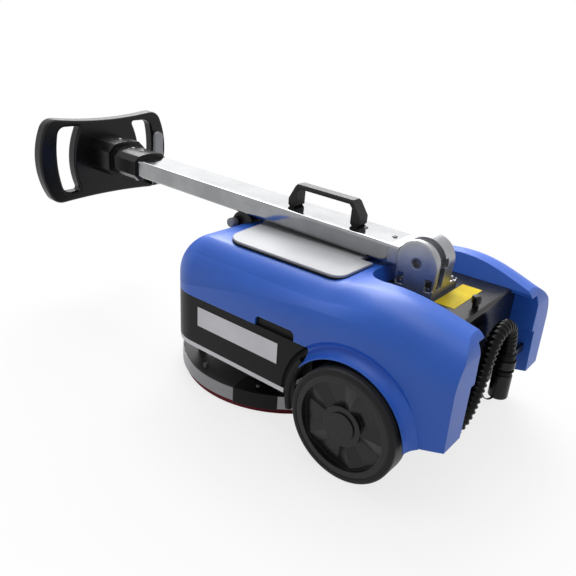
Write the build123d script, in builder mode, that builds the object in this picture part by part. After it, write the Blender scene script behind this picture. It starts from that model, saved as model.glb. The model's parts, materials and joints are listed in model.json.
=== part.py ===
from build123d import *
import math
import os

os.makedirs("parts", exist_ok=True)

# Walk-behind floor scrubber with its mast folded forwards, in millimetres.
# +X is the operator's right, +Y is forwards, +Z is up. The origin is the middle of the
# scrubbing pad's face on the floor.

# Fits
free_gap = 0.3  # between pieces that move past each other
run_gap = 0.05  # radial play of a shaft in its bore
seat_gap = 0.3  # round a piece dropped into a recess
beyond = 1.0  # how far a cut runs past the face it leaves through

# Scrubbing disc
pad_radius = 215.0
pad_thickness = 13.0
driver_radius = 204.0
driver_thickness = 12.0
driver_hub_radius = 30.0
driver_hub_height = 10.0
shaft_radius = 12.0
shaft_engagement = 20.0  # length of shaft inside the gearbox

# Deck over the disc
deck_lift = 1.2  # air between the pad and the deck's rim
deck_height = 28.0
deck_radius = 218.0
deck_wall = 4.0
deck_top_thickness = 5.0
deck_bore_radius = 20.0
band_thickness = 1.5
skirt_start = 194.0  # degrees round the deck, on the left side
skirt_end = 217.0
skirt_inner_radius = 172.0
skirt_wall = 4.0
skirt_top = 4.0
skirt_round = 3.0
post_radius = 9.0
front_post = (150.0, 100.0)
rear_post = (112.0, -142.0)
deck_screw_radius = 5.0
deck_screw_height = 7.0
deck_screw_circle = 200.0
deck_screw_angles = (12, 64, 116, 168, 236, 304)

# Brush motor and what else stands inside the body
motor_flange_radius = 70.0
motor_flange_thickness = 8.0
gearbox_radius = 56.0
gearbox_height = 70.0
motor_radius = 45.0
motor_height = 74.0
motor_round = 6.0
motor_hole_gap = 2.0
battery_size = (108.0, 190.0, 80.0)
battery_inner = 84.0
battery_round = 5.0
vacuum_radius = 45.0
vacuum_height = 62.0
vacuum_cap_radius = 30.0
vacuum_cap_height = 20.0
vacuum_x = -110.0
control_box_size = (110.0, 78.0, 66.0)
control_box_x = 118.0
service_y = -148.0  # row of the vacuum motor and the control box
tank_wall = 3.0
tank_bottom = 205.0
solution_tank_back = 44.0
solution_tank_floor = 224.0

# Chassis plate, lower housing and shell
body_half_width = 210.0
body_front = 150.0
body_corner = 80.0
plate_bottom = 86.0
plate_thickness = 9.0
plate_step_gap = 42.0  # plate's full width starts this far in front of the wheels
plate_back = -417.0
toe_radius = 48.0  # lower front edge of the body
parting_height = 194.0  # joint of the lower housing and the shell
shell_top = 298.0
shoulder_radius = 75.0
shell_wall = 5.0
housing_wall = 4.0
housing_back = -214.0
housing_back_wall = 20.0
tongue_height = 22.0
tongue_thickness = 3.0
flange_thickness = 5.0
notch_back = -186.0  # finger recess in the shell's lower edge
notch_front = -98.0
notch_height = 18.0
notch_corner = 9.0

# Fenders and the bay between them: place along Y, inset of the side, rise of the ridge
fender_stations = (
    (-200.0, 0.0, 0.0),
    (-224.0, 0.0, 2.0),
    (-290.0, 0.0, 12.0),
    (-390.0, 4.0, 3.5),
    (-490.0, 19.0, -23.0),
)
fender_floor = 88.0
fender_toe = (-414.0, 98.0)  # lower edge at the arch, along Y and up
fender_heel = (-472.0, 111.0)  # lower edge at the back
fender_bend = (-471.0, 46.0)  # start of the roll at the back, along Y and down from the top
fender_roll = (-438.0, 8.0)  # where the roll meets the ridge
fender_roll_radius = 46.0
bay_half_width = 102.0
bay_lean = 22.0  # degrees that the bay's rim leans out above the rear cover
bay_front = -254.0
bay_corner = 45.0
bay_end = -520.0
bay_under_half_width = 123.0  # behind the rear cover, under the rim
cavity_back = -199.0
bay_step_height = 200.0
bay_low_half_width = 142.0  # at the fender's floor
bay_low_lean = 3.6  # degrees
bay_low_front = -405.0  # the low bay widens to the wheel wells ahead of this
arch_shift = (9.0, -10.0)  # from the axle to the middle of the arch
arch_gap = 16.0  # from the tyre's radius out to the lip's edge
arch_valley = 14.0  # from the lip's edge out to the bottom of the cove
arch_crease = 23.5  # and out to the crease on the body's side
arch_cove_depth = 6.5
lip_flare = 16.0  # how far the lip stands out of the body's side
lip_edge = 2.0
lip_sag = 3.0
lip_root = 8.0
lip_angles = (36.0, 184.0)
guard_proud = 4.0  # the housing's own arch rim
guard_depth = 14.0
guard_thickness = 13.0
guard_round = 4.0
guard_angles = (-14.0, 38.0)
backing_size = (10.0, 36.0)  # thickening of the housing's wall behind the cove
well_gap = 8.0  # between a wheel's inner face and the well's wall

# Wheels and axles
axle_y = -314.0
wheel_radius = 100.0
wheel_proud = 30.0  # wheel's outer face outside the body's side
tyre_width = 44.0
tyre_depth = 11.0
tyre_round = 5.5
rim_recess = 0.6  # rim's faces below the tyre's
rim_ring_radius = 78.0
rim_web_depth = 12.0
rim_web_thickness = 8.0
hub_radius = 36.0
hub_recess = 4.0  # hub's outer face below the tyre's
hub_cap_radius = 25.0
hub_cap_height = 3.0
spoke_count = 5
spoke_hub_size = (30.0, 8.0)  # width and height of the ridge where it leaves the hub
spoke_ring_size = (60.0, 7.0)  # and where it meets the ring
axle_radius = 10.0
axle_inset = 9.0  # axle's end below the tyre's outer face
bearing_radius = 17.5
bearing_width = 11.0
block_width = 38.0
block_half_length = 28.0
block_drop = 8.0  # below the chassis plate
block_rise = 32.0  # above the axle
block_foot = 34.0
block_foot_height = 9.0

# Lid, rear cover and what stands on it
lid_half_width = 148.0
lid_back = -226.0
lid_front = 54.0
lid_front_corner = 44.0
lid_back_corner = 22.0
lid_bow = 14.0
lid_notch_half_width = 47.0
lid_notch_depth = 26.0
lid_thickness = 4.5
lid_edge_round = 1.5
seal_thickness = 3.2
seal_proud = 1.0
lid_opening_half_width = 126.0
lid_opening_inset = 21.0
lid_opening_back_inset = 38.0
lid_opening_corner = 30.0
lid_rim_gap = 3.0
lid_rim_wall = 3.0
lid_rim_depth = 12.0
deck_drop = 22.0  # from the shell's top down to the rear cover
cover_thickness = 6.0
cover_back = -427.0
cover_roll = 6.0
pedestal_half_width = 42.0
pedestal_wall = 5.0
label_half_length = 55.0
label_width = 37.0
label_back = -391.0
label_thickness = 0.6
nameplate_length = 202.0
nameplate_height = 40.0
nameplate_back = -153.0
nameplate_bottom = 137.0
nameplate_thickness = 1.0
knob_x = -19.0
knob_y = -411.0
knob_radius = 8.0
knob_waist_radius = 5.5
knob_waist_height = 8.0
knob_head_height = 12.0
knob_stem_radius = 4.0
knob_stem_depth = 24.0
valve_radius = 9.0
valve_height = 42.0

# Mast bracket and pivot
pivot_y = -308.5
pivot_rise = 53.0  # above the rear cover
bracket_half_width = 47.0
bracket_half_length = 36.5
bracket_base = 12.0
ear_radius = 40.0
ear_thickness = 9.0
ear_round = 5.0
broad_ear_outer = 20.0
ear_notch = (9.0, 15.0, 16.0)
ear_notch_drop = 5.0  # notch's floor below the pivot
pivot_radius = 10.0
pivot_end_inset = 1.0
pivot_socket_size = 7.5
pivot_socket_depth = 8.0
bracket_bolt_x = 39.0
bracket_bolt_y = 27.0
bracket_bolt_radius = 6.0
bracket_bolt_height = 7.0
bracket_pocket_radius = 10.0
bracket_pocket_height = 22.0

# Mast, knuckle and carry handle, drawn level and leaned up about the pivot
mast_lean = 1.41  # degrees
mast_half_width = 40.0
mast_drop = 23.0  # from the pivot down to the mast's underside
mast_rise = 16.0  # and up to its top
mast_top_round = 5.0
mast_bottom_round = 8.0
mast_wall = 3.0
mast_start = -248.0
disc_radius = 38.0
disc_thickness = 4.7
tongue_radius = 27.0
tongue_width = 16.0
collar_gap = 0.5  # between the collar and the ears
web_inset = 5.0
plug_length = 60.0
plug_gap = 0.2
mast_screw_rows = (-236.0, -173.0)
neck_small_screw_rows = (480.0, 515.0)
neck_large_screw_rows = (566.0,)
screw_head_radius = 5.0
screw_head_height = 2.6
handle_back = -166.0
handle_front = 2.0
handle_rise = 47.0  # above the mast
handle_bar = 8.0
handle_shoulders = ((20.0, 28.0), (17.0, 31.0))  # back and front, along Y and down
handle_gap = (-147.0, -17.0)
handle_gap_corner = 6.0
handle_foot = 4.0  # bevel at a leg's foot
handle_half_width = 14.0
handle_chamfer = 4.0

# Neck and head, with heights from the middle of the mast
neck_start = 448.0
neck_step = 538.0
mast_socket = 62.0  # length of mast inside the neck
neck_small = (46.0, 28.0, 12.0)  # half width, half height and corner
neck_large = (54.0, 40.0, 18.0)
neck_crown = 4.0
head_back = 618.0
head_thickness = 30.0
head_top_corner = (158.0, 97.0)
head_bottom_corner = (152.0, -112.0)
head_side = (187.0, 5.0)
head_top_dip = 85.0
head_bottom_dip = -105.0
head_corner = 34.0
head_round = 5.5
slot_inner = ((75.0, 74.0), (96.0, 8.0), (83.0, -86.0))  # top, middle and bottom
slot_outer = ((133.0, 74.0), (142.0, 8.0), (128.0, -86.0))
slot_inner_corner = 6.0
slot_outer_corner = 21.0
panel_half_width = 64.0
panel_bottom = -58.0
panel_top = 68.0
panel_corner = 16.0
panel_thickness = 5.0
key_radius = 11.0
key_height = 3.0
key_travel = 2.0
key_x = 24.0
key_rise = -21.5
lever_x = 148.0
lever_half_width = 13.0
lever_thickness = 8.0
lever_top = 43.0
lever_foot = -93.0
lever_gap = 18.0  # from the lever's middle to the head
lever_pin_radius = 4.0
lever_eye_radius = 8.0
lever_lug = 6.0

# Rest for the folded mast, on the front of the shell
rest_set_y = 112.0
rest_radius = 30.0
rest_half_width = 26.0
rest_knob_shift = (20.0, 4.0)  # from the middle of the rest, along Y and up
rest_knob_radius = 10.0
rest_knob_length = 18.0
rest_stem_radius = 4.0
rest_stem_depth = 14.0

# Squeegee behind the pad
squeegee_radius = 250.0
squeegee_half_angle = 43.0
squeegee_half_width = 16.0
squeegee_bottom = 36.0
squeegee_top = 56.0
blade_thickness = 4.0
blade_offset = 10.0
blade_lift = 1.0
arm_x = 60.0
arm_width = 16.0
arm_thickness = 6.0
arm_reach = 236.0
hinge_y = -342.0
hinge_z = 70.0
hinge_pin_radius = 5.0
hinge_eye_radius = 11.0
hanger_lug = 6.0
hanger_base = 4.0
hanger_half_width = 82.0
port_radius = 17.0
port_wall = 3.0
port_height = 12.0

# Drain hose in the bay
hose_crest_radius = 13.0
hose_root_radius = 10.8
hose_bore_radius = 9.0
rib_pitch = 9.5
rib_crest_start = 0.2  # in pitches from where a rib leaves the root
rib_crest_end = 0.6
rib_root_start = 0.8
hose_route = (
    (-118.0, -338.0, 58.0),
    (-118.0, -386.0, 58.0),
    (-114.0, -430.0, 68.0),
    (-92.0, -453.0, 104.0),
    (-62.0, -456.0, 148.0),
    (-42.0, -455.0, 196.0),
    (-14.0, -453.0, 240.0),
    (30.0, -453.0, 248.0),
    (56.0, -456.0, 220.0),
    (56.0, -456.0, 178.0),
)
cuff_radius = 15.5
cuff_length = 40.0
cap_radius = 17.5
cap_length = 48.0
cap_round = 3.0
cap_spigot = 14.0  # length of the cap inside the cuff
outlet_radius = 16.0
outlet_length = 40.0
clip_thickness = 3.0
clip_height = 14.0
clip_drop = 12.0  # from the cuff's top down to the clip
clip_arm = 6.0

# Values worked out from the ones above
pad_top = pad_thickness
deck_bottom = pad_top + deck_lift
deck_top = deck_bottom + deck_height
band_radius = deck_radius + band_thickness
gearbox_top = deck_top + gearbox_height
shaft_top = deck_top + shaft_engagement
plate_top = plate_bottom + plate_thickness
axle_z = wheel_radius
track_half = body_half_width + wheel_proud
wheel_inner = track_half - tyre_width
well_inner = wheel_inner - well_gap
block_inner = well_inner - block_width
tyre_inner_radius = wheel_radius - tyre_depth
rim_face = track_half - rim_recess
rim_inner = wheel_inner + rim_recess
web_face = rim_face - rim_web_depth
hub_face = track_half - hub_recess
plate_step = axle_y + wheel_radius + plate_step_gap
arch_y = axle_y + arch_shift[0]
arch_z = axle_z + arch_shift[1]
arch_radius = wheel_radius + arch_gap
valley_radius = arch_radius + arch_valley
crease_radius = arch_radius + arch_crease
cove_face = body_half_width - arch_cove_depth
shoulder = min(shoulder_radius, shell_top - parting_height - tongue_height)
lid_bottom = shell_top + free_gap
lid_plate_bottom = lid_bottom + seal_thickness
deck_surface = shell_top - deck_drop
cover_underside = deck_surface - cover_thickness
pivot_z = deck_surface + pivot_rise
bracket_floor = deck_surface + bracket_base
ear_inner = ear_thickness - bracket_half_width
disc_start = ear_inner + free_gap
tongue_start = disc_start + disc_thickness
tongue_end = tongue_start + tongue_width
broad_ear_inner = tongue_end + free_gap
collar_start = pivot_y + ear_radius + collar_gap
mast_bottom = pivot_z - mast_drop
mast_top = pivot_z + mast_rise
mast_middle = (mast_bottom + mast_top) / 2
mast_end = neck_start + mast_socket
head_front = head_back + head_thickness
lever_pivot = (head_back - lever_gap, mast_middle + lever_foot)
key_z = mast_middle + key_rise
lean = math.radians(mast_lean)
rest_y = rest_set_y + (shoulder_radius - shoulder) / 2
rest_z = (
    pivot_z
    + (rest_y - pivot_y) * math.tan(lean)
    - (mast_drop + free_gap + rest_radius) / math.cos(lean)
)
rest_knob_y = rest_y + rest_knob_shift[0]
rest_knob_z = rest_z + rest_knob_shift[1]
axle_line = Axis((0, axle_y, axle_z), (1, 0, 0))
axle_plane = Plane((0, axle_y, axle_z), x_dir=(1, 0, 0), z_dir=(0, -1, 0))
arch_line = Axis((0, arch_y, arch_z), (1, 0, 0))
pivot_line = Axis((0, pivot_y, pivot_z), (1, 0, 0))


def save(builder, name, turn=0.0):  # turned up about the mast's pivot, in degrees
    part = builder.part.rotate(pivot_line, turn) if turn else builder.part
    part.label = name
    export_step(part, f"parts/{name}.step")


def across(y):  # upright plane facing back, X to the right and Z up
    return Plane.XZ.offset(-y)


# Plan of the body: straight sides, a straight back and rounded front corners
def body_plan(height, back, inset=0.0):
    front = body_front - inset
    with BuildSketch(Plane.XY.offset(height)) as plan:
        with Locations((0, (front + back) / 2)):
            Rectangle(2 * (body_half_width - inset), front - back)
        fillet(plan.vertices().group_by(Axis.Y)[-1], radius=body_corner - inset)
    return plan.sketch


# Upper body: the plan drawn up to the top, with its shoulders rolled over
def upper_hull(inset, back, floor):
    with BuildPart() as hull:
        extrude(body_plan(floor, back, inset), amount=shell_top - inset - floor)
        rim = hull.faces().sort_by(Axis.Z)[-1].edges().sort_by(Axis.Y)[1:]
        fillet(rim, radius=shoulder - inset)
    return hull.part


# What the rolled lower front edge takes off the body
def toe_cut():
    high = (body_front, plate_bottom + toe_radius)
    low = (body_front - toe_radius, plate_bottom)
    with BuildPart() as cut:
        with BuildSketch(Plane.YZ):
            with BuildLine():
                RadiusArc(high, low, toe_radius)
                Polyline(
                    low,
                    (low[0], plate_bottom - beyond),
                    (body_front + beyond, plate_bottom - beyond),
                    (body_front + beyond, high[1]),
                    high,
                )
            make_face()
        extrude(amount=body_half_width + beyond, both=True)
    return cut.part


# Plan of the lid with its finger notch, grown or shrunk by an offset
def lid_plan(height, grow=0.0):
    half = lid_half_width + grow
    back = lid_back - grow
    front = lid_front + grow
    with BuildSketch(Plane.XY.offset(height)) as plan:
        with BuildLine():
            Line((-half, front - lid_bow), (-half, back))
            Line((-half, back), (half, back))
            Line((half, back), (half, front - lid_bow))
            ThreePointArc((half, front - lid_bow), (0, front), (-half, front - lid_bow))
        make_face()
        fillet(plan.vertices().group_by(Axis.Y)[-1], radius=lid_front_corner + grow)
        fillet(plan.vertices().group_by(Axis.Y)[0], radius=lid_back_corner + grow)
        with Locations((0, back)):
            notch = (2 * (lid_notch_half_width - grow), 2 * lid_notch_depth)
            Rectangle(*notch, mode=Mode.SUBTRACT)
    return plan.sketch


def lid_opening_plan(height, inset=0.0):
    half = lid_opening_half_width - inset
    back = lid_back + lid_opening_back_inset + inset
    front = lid_front - lid_opening_inset - inset
    with BuildSketch(Plane.XY.offset(height)) as plan:
        with Locations((0, (front + back) / 2)):
            RectangleRounded(2 * half, front - back, lid_opening_corner - inset)
    return plan.sketch


# Section of the mast, shrunk by an inset
def mast_section(y, inset=0.0):
    with BuildSketch(across(y)) as section:
        with Locations((0, mast_middle)):
            Rectangle(2 * (mast_half_width - inset), mast_top - mast_bottom - 2 * inset)
        fillet(section.vertices().group_by(Axis.Y)[-1], radius=mast_top_round - inset)
        fillet(section.vertices().group_by(Axis.Y)[0], radius=mast_bottom_round - inset)
    return section.sketch


# Eight-sided section of the neck, crowned on top
def neck_section(y, size):
    half, rise, corner = size
    top = mast_middle + rise
    bottom = mast_middle - rise
    with BuildSketch(across(y)) as section:
        with BuildLine():
            ThreePointArc((corner - half, top), (0, top + neck_crown), (half - corner, top))
            Polyline(
                (half - corner, top),
                (half, top - corner),
                (half, bottom + corner),
                (half - corner, bottom),
                (corner - half, bottom),
                (-half, bottom + corner),
                (-half, top - corner),
                (corner - half, top),
            )
        make_face()
    return section.sketch


def on_head(point):  # across, and up from the middle of the mast
    return (point[0], mast_middle + point[1])


# Plan of the bay between the fenders, rounded at its front corners, grown by an offset
def bay_plan(height, back, grow=0.0):
    front = bay_front + grow
    with BuildSketch(Plane.XY.offset(height)) as plan:
        with Locations((0, (front + back) / 2)):
            Rectangle(2 * (bay_half_width + grow), front - back)
        fillet(plan.vertices().group_by(Axis.Y)[-1], radius=bay_corner + grow)
    return plan.sketch


def bay_low_half(height):  # half width of the bay under its step
    return bay_low_half_width - (height - fender_floor) * math.tan(math.radians(bay_low_lean))


def fender_edge(y):  # height of the fender's lower edge
    slope = (fender_heel[1] - fender_toe[1]) / (fender_heel[0] - fender_toe[0])
    return fender_toe[1] + (y - fender_toe[0]) * slope


# Plane through the arch's axis, X across and Y outwards at an angle in degrees
def arch_section(angle):
    turn = math.radians(angle)
    facing = (0, -math.sin(turn), math.cos(turn))
    return Plane((0, arch_y, arch_z), x_dir=(1, 0, 0), z_dir=facing)


# What the cove round a wheel arch takes off the body's side
def arch_cove(side):
    valley = (side * cove_face, valley_radius)
    crease = (side * body_half_width, crease_radius)
    past = side * (body_half_width + 2 * beyond)
    hollow = (
        side * (cove_face + 0.3 * arch_cove_depth),
        valley_radius + 0.6 * (crease_radius - valley_radius),
    )
    with BuildPart() as cove:
        with BuildSketch(arch_section(0)):
            with BuildLine():
                ThreePointArc(valley, hollow, crease)
                Polyline(
                    crease,
                    (past, crease_radius),
                    (past, arch_radius - beyond),
                    (side * cove_face, arch_radius - beyond),
                    valley,
                )
            make_face()
        revolve(axis=arch_line)
    return cove.part


# Lip that flares out round a wheel arch, from the housing to the fender's lower edge
def arch_lip(side):
    root = side * cove_face
    inside = side * (cove_face - lip_root)
    tip = side * (body_half_width + lip_flare)
    sag = ((root + tip) / 2, (valley_radius + arch_radius + lip_edge) / 2 - lip_sag)
    with BuildPart() as lip:
        with BuildSketch(arch_section(lip_angles[0])):
            with BuildLine():
                ThreePointArc((root, valley_radius), sag, (tip, arch_radius + lip_edge))
                Polyline(
                    (tip, arch_radius + lip_edge),
                    (tip, arch_radius),
                    (inside, arch_radius),
                    (inside, valley_radius),
                    (root, valley_radius),
                )
            make_face()
        revolve(axis=arch_line, revolution_arc=lip_angles[1] - lip_angles[0])
        with BuildSketch(Plane.YZ):
            with BuildLine():
                Polyline(
                    (housing_back, shell_top),
                    (housing_back, arch_z),
                    (arch_y, fender_edge(arch_y)),
                    fender_heel,
                    (fender_heel[0], shell_top),
                    close=True,
                )
            make_face()
        extrude(amount=2 * body_half_width, both=True, mode=Mode.INTERSECT)
    return lip.part


# Part of a ring about a point of the sketch plane, between two angles in degrees
def ring_sector(plane, middle, inner, outer, start, end):
    with BuildSketch(plane) as sector:
        with BuildLine():
            far = CenterArc(middle, outer, start, end - start)
            near = CenterArc(middle, inner, start, end - start)
            Line(far @ 0, near @ 0)
            Line(far @ 1, near @ 1)
        make_face()
    return sector.sketch


# Scrubbing disc
with BuildPart() as pad:
    with BuildSketch():
        Circle(pad_radius)
    extrude(amount=pad_thickness)
save(pad, "pad")

with BuildPart() as pad_driver:
    with BuildSketch(Plane.XY.offset(pad_top)):
        Circle(driver_radius)
    extrude(amount=driver_thickness)
    with BuildSketch(Plane.XY.offset(pad_top + driver_thickness)):
        Circle(driver_hub_radius)
    extrude(amount=driver_hub_height)
    Hole(shaft_radius)
save(pad_driver, "pad_driver")

with BuildPart() as drive_shaft:
    with BuildSketch(Plane.XY.offset(pad_top)):
        Circle(shaft_radius)
    extrude(amount=shaft_top - free_gap - pad_top)
save(drive_shaft, "drive_shaft")

# Deck over the disc, its metal band, side skirts, posts and screws
with BuildPart() as deck_plate:
    with BuildSketch(Plane.XY.offset(deck_bottom)):
        Circle(deck_radius)
    extrude(amount=deck_height)
    with BuildSketch(Plane.XY.offset(deck_bottom)):
        Circle(deck_radius - deck_wall)
    extrude(amount=deck_height - deck_top_thickness, mode=Mode.SUBTRACT)
    with BuildSketch(Plane.XY.offset(deck_bottom)):
        Circle(deck_bore_radius)
    extrude(amount=deck_height, mode=Mode.SUBTRACT)
save(deck_plate, "deck_plate")

with BuildPart() as deck_band:
    with BuildSketch(Plane.XY.offset(deck_bottom)):
        Circle(band_radius)
        Circle(deck_radius, mode=Mode.SUBTRACT)
    extrude(amount=deck_height)
save(deck_band, "deck_band")

skirt_radius = band_radius + skirt_wall
rim_plane = Plane.XY.offset(deck_bottom)
top_plane = Plane.XY.offset(deck_top)
with BuildPart() as splash_skirts:
    extrude(
        ring_sector(rim_plane, (0, 0), band_radius, skirt_radius, skirt_start, skirt_end),
        amount=deck_height,
    )
    extrude(
        ring_sector(top_plane, (0, 0), skirt_inner_radius, skirt_radius, skirt_start, skirt_end),
        amount=skirt_top,
    )
    uprights = splash_skirts.edges().filter_by(Axis.Z)
    fillet(uprights.group_by(lambda edge: edge.center().X)[0], radius=skirt_round)
    mirror(about=Plane.YZ)
save(splash_skirts, "splash_skirts")

with BuildPart() as deck_posts:
    with BuildSketch(Plane.XY.offset(deck_top)):
        for x, y in (front_post, rear_post):
            with Locations((x, y), (-x, y)):
                Circle(post_radius)
    extrude(amount=plate_bottom - deck_top)
save(deck_posts, "deck_posts")

with BuildPart() as deck_screws:
    with BuildSketch(Plane.XY.offset(deck_top)):
        for angle in deck_screw_angles:
            with PolarLocations(deck_screw_circle, 1, start_angle=angle):
                RegularPolygon(deck_screw_radius, 6)
    extrude(amount=deck_screw_height)
save(deck_screws, "deck_screws")

# Brush motor with its gearbox, standing on the deck and passing through the chassis plate
with BuildPart() as brush_motor:
    with BuildSketch(Plane.XY.offset(deck_top)):
        Circle(motor_flange_radius)
    extrude(amount=motor_flange_thickness)
    with BuildSketch(Plane.XY.offset(deck_top)):
        Circle(gearbox_radius)
    extrude(amount=gearbox_height)
    with BuildSketch(Plane.XY.offset(gearbox_top)):
        Circle(motor_radius)
    extrude(amount=motor_height)
    fillet(brush_motor.faces().sort_by(Axis.Z)[-1].edges(), radius=motor_round)
    with BuildSketch(Plane.XY.offset(deck_top)):
        Circle(shaft_radius + run_gap)
    extrude(amount=shaft_engagement, mode=Mode.SUBTRACT)
save(brush_motor, "brush_motor")

# Chassis plate, wide under the housing and narrow between the wheels
with BuildPart() as chassis_plate:
    extrude(body_plan(plate_bottom, plate_step), amount=plate_thickness)
    with BuildSketch(Plane.XY.offset(plate_bottom)):
        with Locations((0, (plate_step + plate_back) / 2)):
            Rectangle(2 * block_inner, plate_step - plate_back)
    extrude(amount=plate_thickness)
    add(toe_cut(), mode=Mode.SUBTRACT)
    with BuildSketch(Plane.XY.offset(plate_bottom)):
        Circle(gearbox_radius + motor_hole_gap)
    extrude(amount=plate_thickness, mode=Mode.SUBTRACT)
save(chassis_plate, "chassis_plate")

# Batteries, vacuum motor and control box on the chassis plate
with BuildPart() as batteries:
    with BuildSketch(Plane.XY.offset(plate_top)):
        with Locations((battery_inner + battery_size[0] / 2, 0)):
            RectangleRounded(battery_size[0], battery_size[1], battery_round)
        mirror(about=Plane.YZ)
    extrude(amount=battery_size[2])
save(batteries, "batteries")

with BuildPart() as vacuum_motor:
    with BuildSketch(Plane.XY.offset(plate_top)):
        with Locations((vacuum_x, service_y)):
            Circle(vacuum_radius)
    extrude(amount=vacuum_height)
    with BuildSketch(Plane.XY.offset(plate_top + vacuum_height)):
        with Locations((vacuum_x, service_y)):
            Circle(vacuum_cap_radius)
    extrude(amount=vacuum_cap_height)
save(vacuum_motor, "vacuum_motor")

with BuildPart() as control_box:
    with BuildSketch(Plane.XY.offset(plate_top)):
        with Locations((control_box_x, service_y)):
            RectangleRounded(control_box_size[0], control_box_size[1], battery_round)
    extrude(amount=control_box_size[2])
save(control_box, "control_box")

# Lower housing round the motor and batteries, with a tongue that the shell drops over
housing_inner_back = housing_back + housing_back_wall
tongue_inset = shell_wall + seat_gap
with BuildPart() as front_housing:
    extrude(body_plan(plate_top, housing_back), amount=parting_height - plate_top)
    add(toe_cut(), mode=Mode.SUBTRACT)
    extrude(
        body_plan(plate_top, housing_inner_back, housing_wall),
        amount=parting_height - flange_thickness - plate_top,
        mode=Mode.SUBTRACT,
    )
    extrude(
        body_plan(parting_height, housing_inner_back - tongue_thickness, tongue_inset),
        amount=tongue_height,
    )
    extrude(
        body_plan(plate_top, housing_inner_back, tongue_inset + tongue_thickness),
        amount=parting_height + tongue_height - plate_top,
        mode=Mode.SUBTRACT,
    )
    for side in (-1, 1):
        with BuildSketch(Plane.XY.offset(plate_top)):
            with Locations((side * (body_half_width - backing_size[0] / 2), housing_inner_back)):
                Rectangle(*backing_size, align=(Align.CENTER, Align.MIN))
        extrude(amount=parting_height - plate_top)
        add(arch_cove(side), mode=Mode.SUBTRACT)
        with BuildSketch(arch_section(guard_angles[0])) as guard:
            middle = side * (body_half_width + guard_proud - guard_depth / 2)
            with Locations((middle, arch_radius)):
                Rectangle(guard_depth, guard_thickness, align=(Align.CENTER, Align.MIN))
            outer = guard.vertices().sort_by(Axis.X)
            fillet(outer[-2:] if side > 0 else outer[:2], radius=guard_round)
        revolve(axis=arch_line, revolution_arc=guard_angles[1] - guard_angles[0])
        with BuildSketch(Plane.YZ.offset(side * well_inner)):
            with Locations((arch_y, arch_z)):
                Circle(arch_radius)
        extrude(amount=side * (body_half_width - well_inner + 2 * guard_proud), mode=Mode.SUBTRACT)
save(front_housing, "front_housing")

# Shell: fenders lofted back from the front block, then the bay, arches and openings
with BuildPart() as main_shell:
    for station, inset, rise in fender_stations:
        ridge = shell_top + rise
        with BuildSketch(across(station)) as section:
            with Locations((0, (ridge + fender_floor) / 2)):
                Rectangle(2 * (body_half_width - inset), ridge - fender_floor)
            fillet(section.vertices().group_by(Axis.Y)[-1], radius=shoulder)
    loft()
    with BuildSketch(Plane.YZ):
        with BuildLine():
            edge_start = (arch_y, fender_edge(arch_y))
            bend = (fender_bend[0], shell_top - fender_bend[1])
            roll = (fender_roll[0], shell_top - fender_roll[1])
            low = edge_start[1] - beyond
            Polyline(edge_start, fender_heel, bend)
            RadiusArc(bend, roll, fender_roll_radius)
            Polyline(
                roll,
                (roll[0], mast_top),
                (bay_end, mast_top),
                (bay_end, low),
                (arch_y, low),
                edge_start,
            )
        make_face()
    extrude(amount=body_half_width + beyond, both=True, mode=Mode.SUBTRACT)
    with BuildSketch(Plane.XY.offset(fender_floor)):
        with Locations((0, housing_back)):
            Rectangle(2 * body_half_width + 2, body_front, align=(Align.CENTER, Align.MIN))
    extrude(amount=parting_height - fender_floor, mode=Mode.SUBTRACT)
    add(upper_hull(0, fender_stations[0][0], parting_height))
    with BuildSketch(Plane.XY.offset(fender_floor)):
        with Locations((0, housing_back)):
            wide_length = housing_back - bay_low_front
            Rectangle(2 * well_inner, wide_length, align=(Align.CENTER, Align.MAX))
    extrude(amount=bay_step_height - fender_floor, mode=Mode.SUBTRACT)
    with BuildSketch(across(bay_end)):
        with BuildLine():
            foot = bay_low_half(fender_floor)
            step = bay_low_half(bay_step_height)
            Polyline(
                (-foot, fender_floor),
                (foot, fender_floor),
                (step, bay_step_height),
                (-step, bay_step_height),
                close=True,
            )
        make_face()
        with Locations((0, fender_floor)):
            under_size = (2 * bay_under_half_width, cover_underside - fender_floor)
            Rectangle(*under_size, align=(Align.CENTER, Align.MIN))
    extrude(amount=bay_end - bay_low_front, mode=Mode.SUBTRACT)
    extrude(bay_plan(fender_floor, bay_end), amount=deck_surface - fender_floor, mode=Mode.SUBTRACT)
    rim_grow = (mast_top - deck_surface) * math.tan(math.radians(bay_lean))
    rim_plans = [bay_plan(deck_surface, bay_end), bay_plan(mast_top, bay_end, rim_grow)]
    loft(rim_plans, ruled=True, mode=Mode.SUBTRACT)
    add(upper_hull(shell_wall, cavity_back, parting_height), mode=Mode.SUBTRACT)
    extrude(
        lid_opening_plan(shell_top - 2 * shell_wall), amount=4 * shell_wall, mode=Mode.SUBTRACT
    )
    extrude(
        lid_plan(shell_top, seal_proud + seat_gap),
        amount=mast_top - shell_top,
        mode=Mode.SUBTRACT,
    )
    for side in (-1, 1):
        add(arch_cove(side), mode=Mode.SUBTRACT)
        add(arch_lip(side))
        with BuildSketch(Plane.YZ.offset(side * well_inner)):
            with Locations((arch_y, arch_z)):
                Circle(arch_radius)
        extrude(amount=side * (body_half_width - well_inner + 2 * lip_flare), mode=Mode.SUBTRACT)
        with BuildSketch(Plane.YZ.offset(side * (body_half_width + beyond))) as notch:
            with Locations(((notch_back + notch_front) / 2, parting_height)):
                Rectangle(notch_front - notch_back, 2 * notch_height)
            fillet(notch.vertices().group_by(Axis.Y)[-1], radius=notch_corner)
        extrude(amount=-side * (shell_wall + 2 * beyond), mode=Mode.SUBTRACT)
save(main_shell, "main_shell")

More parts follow.
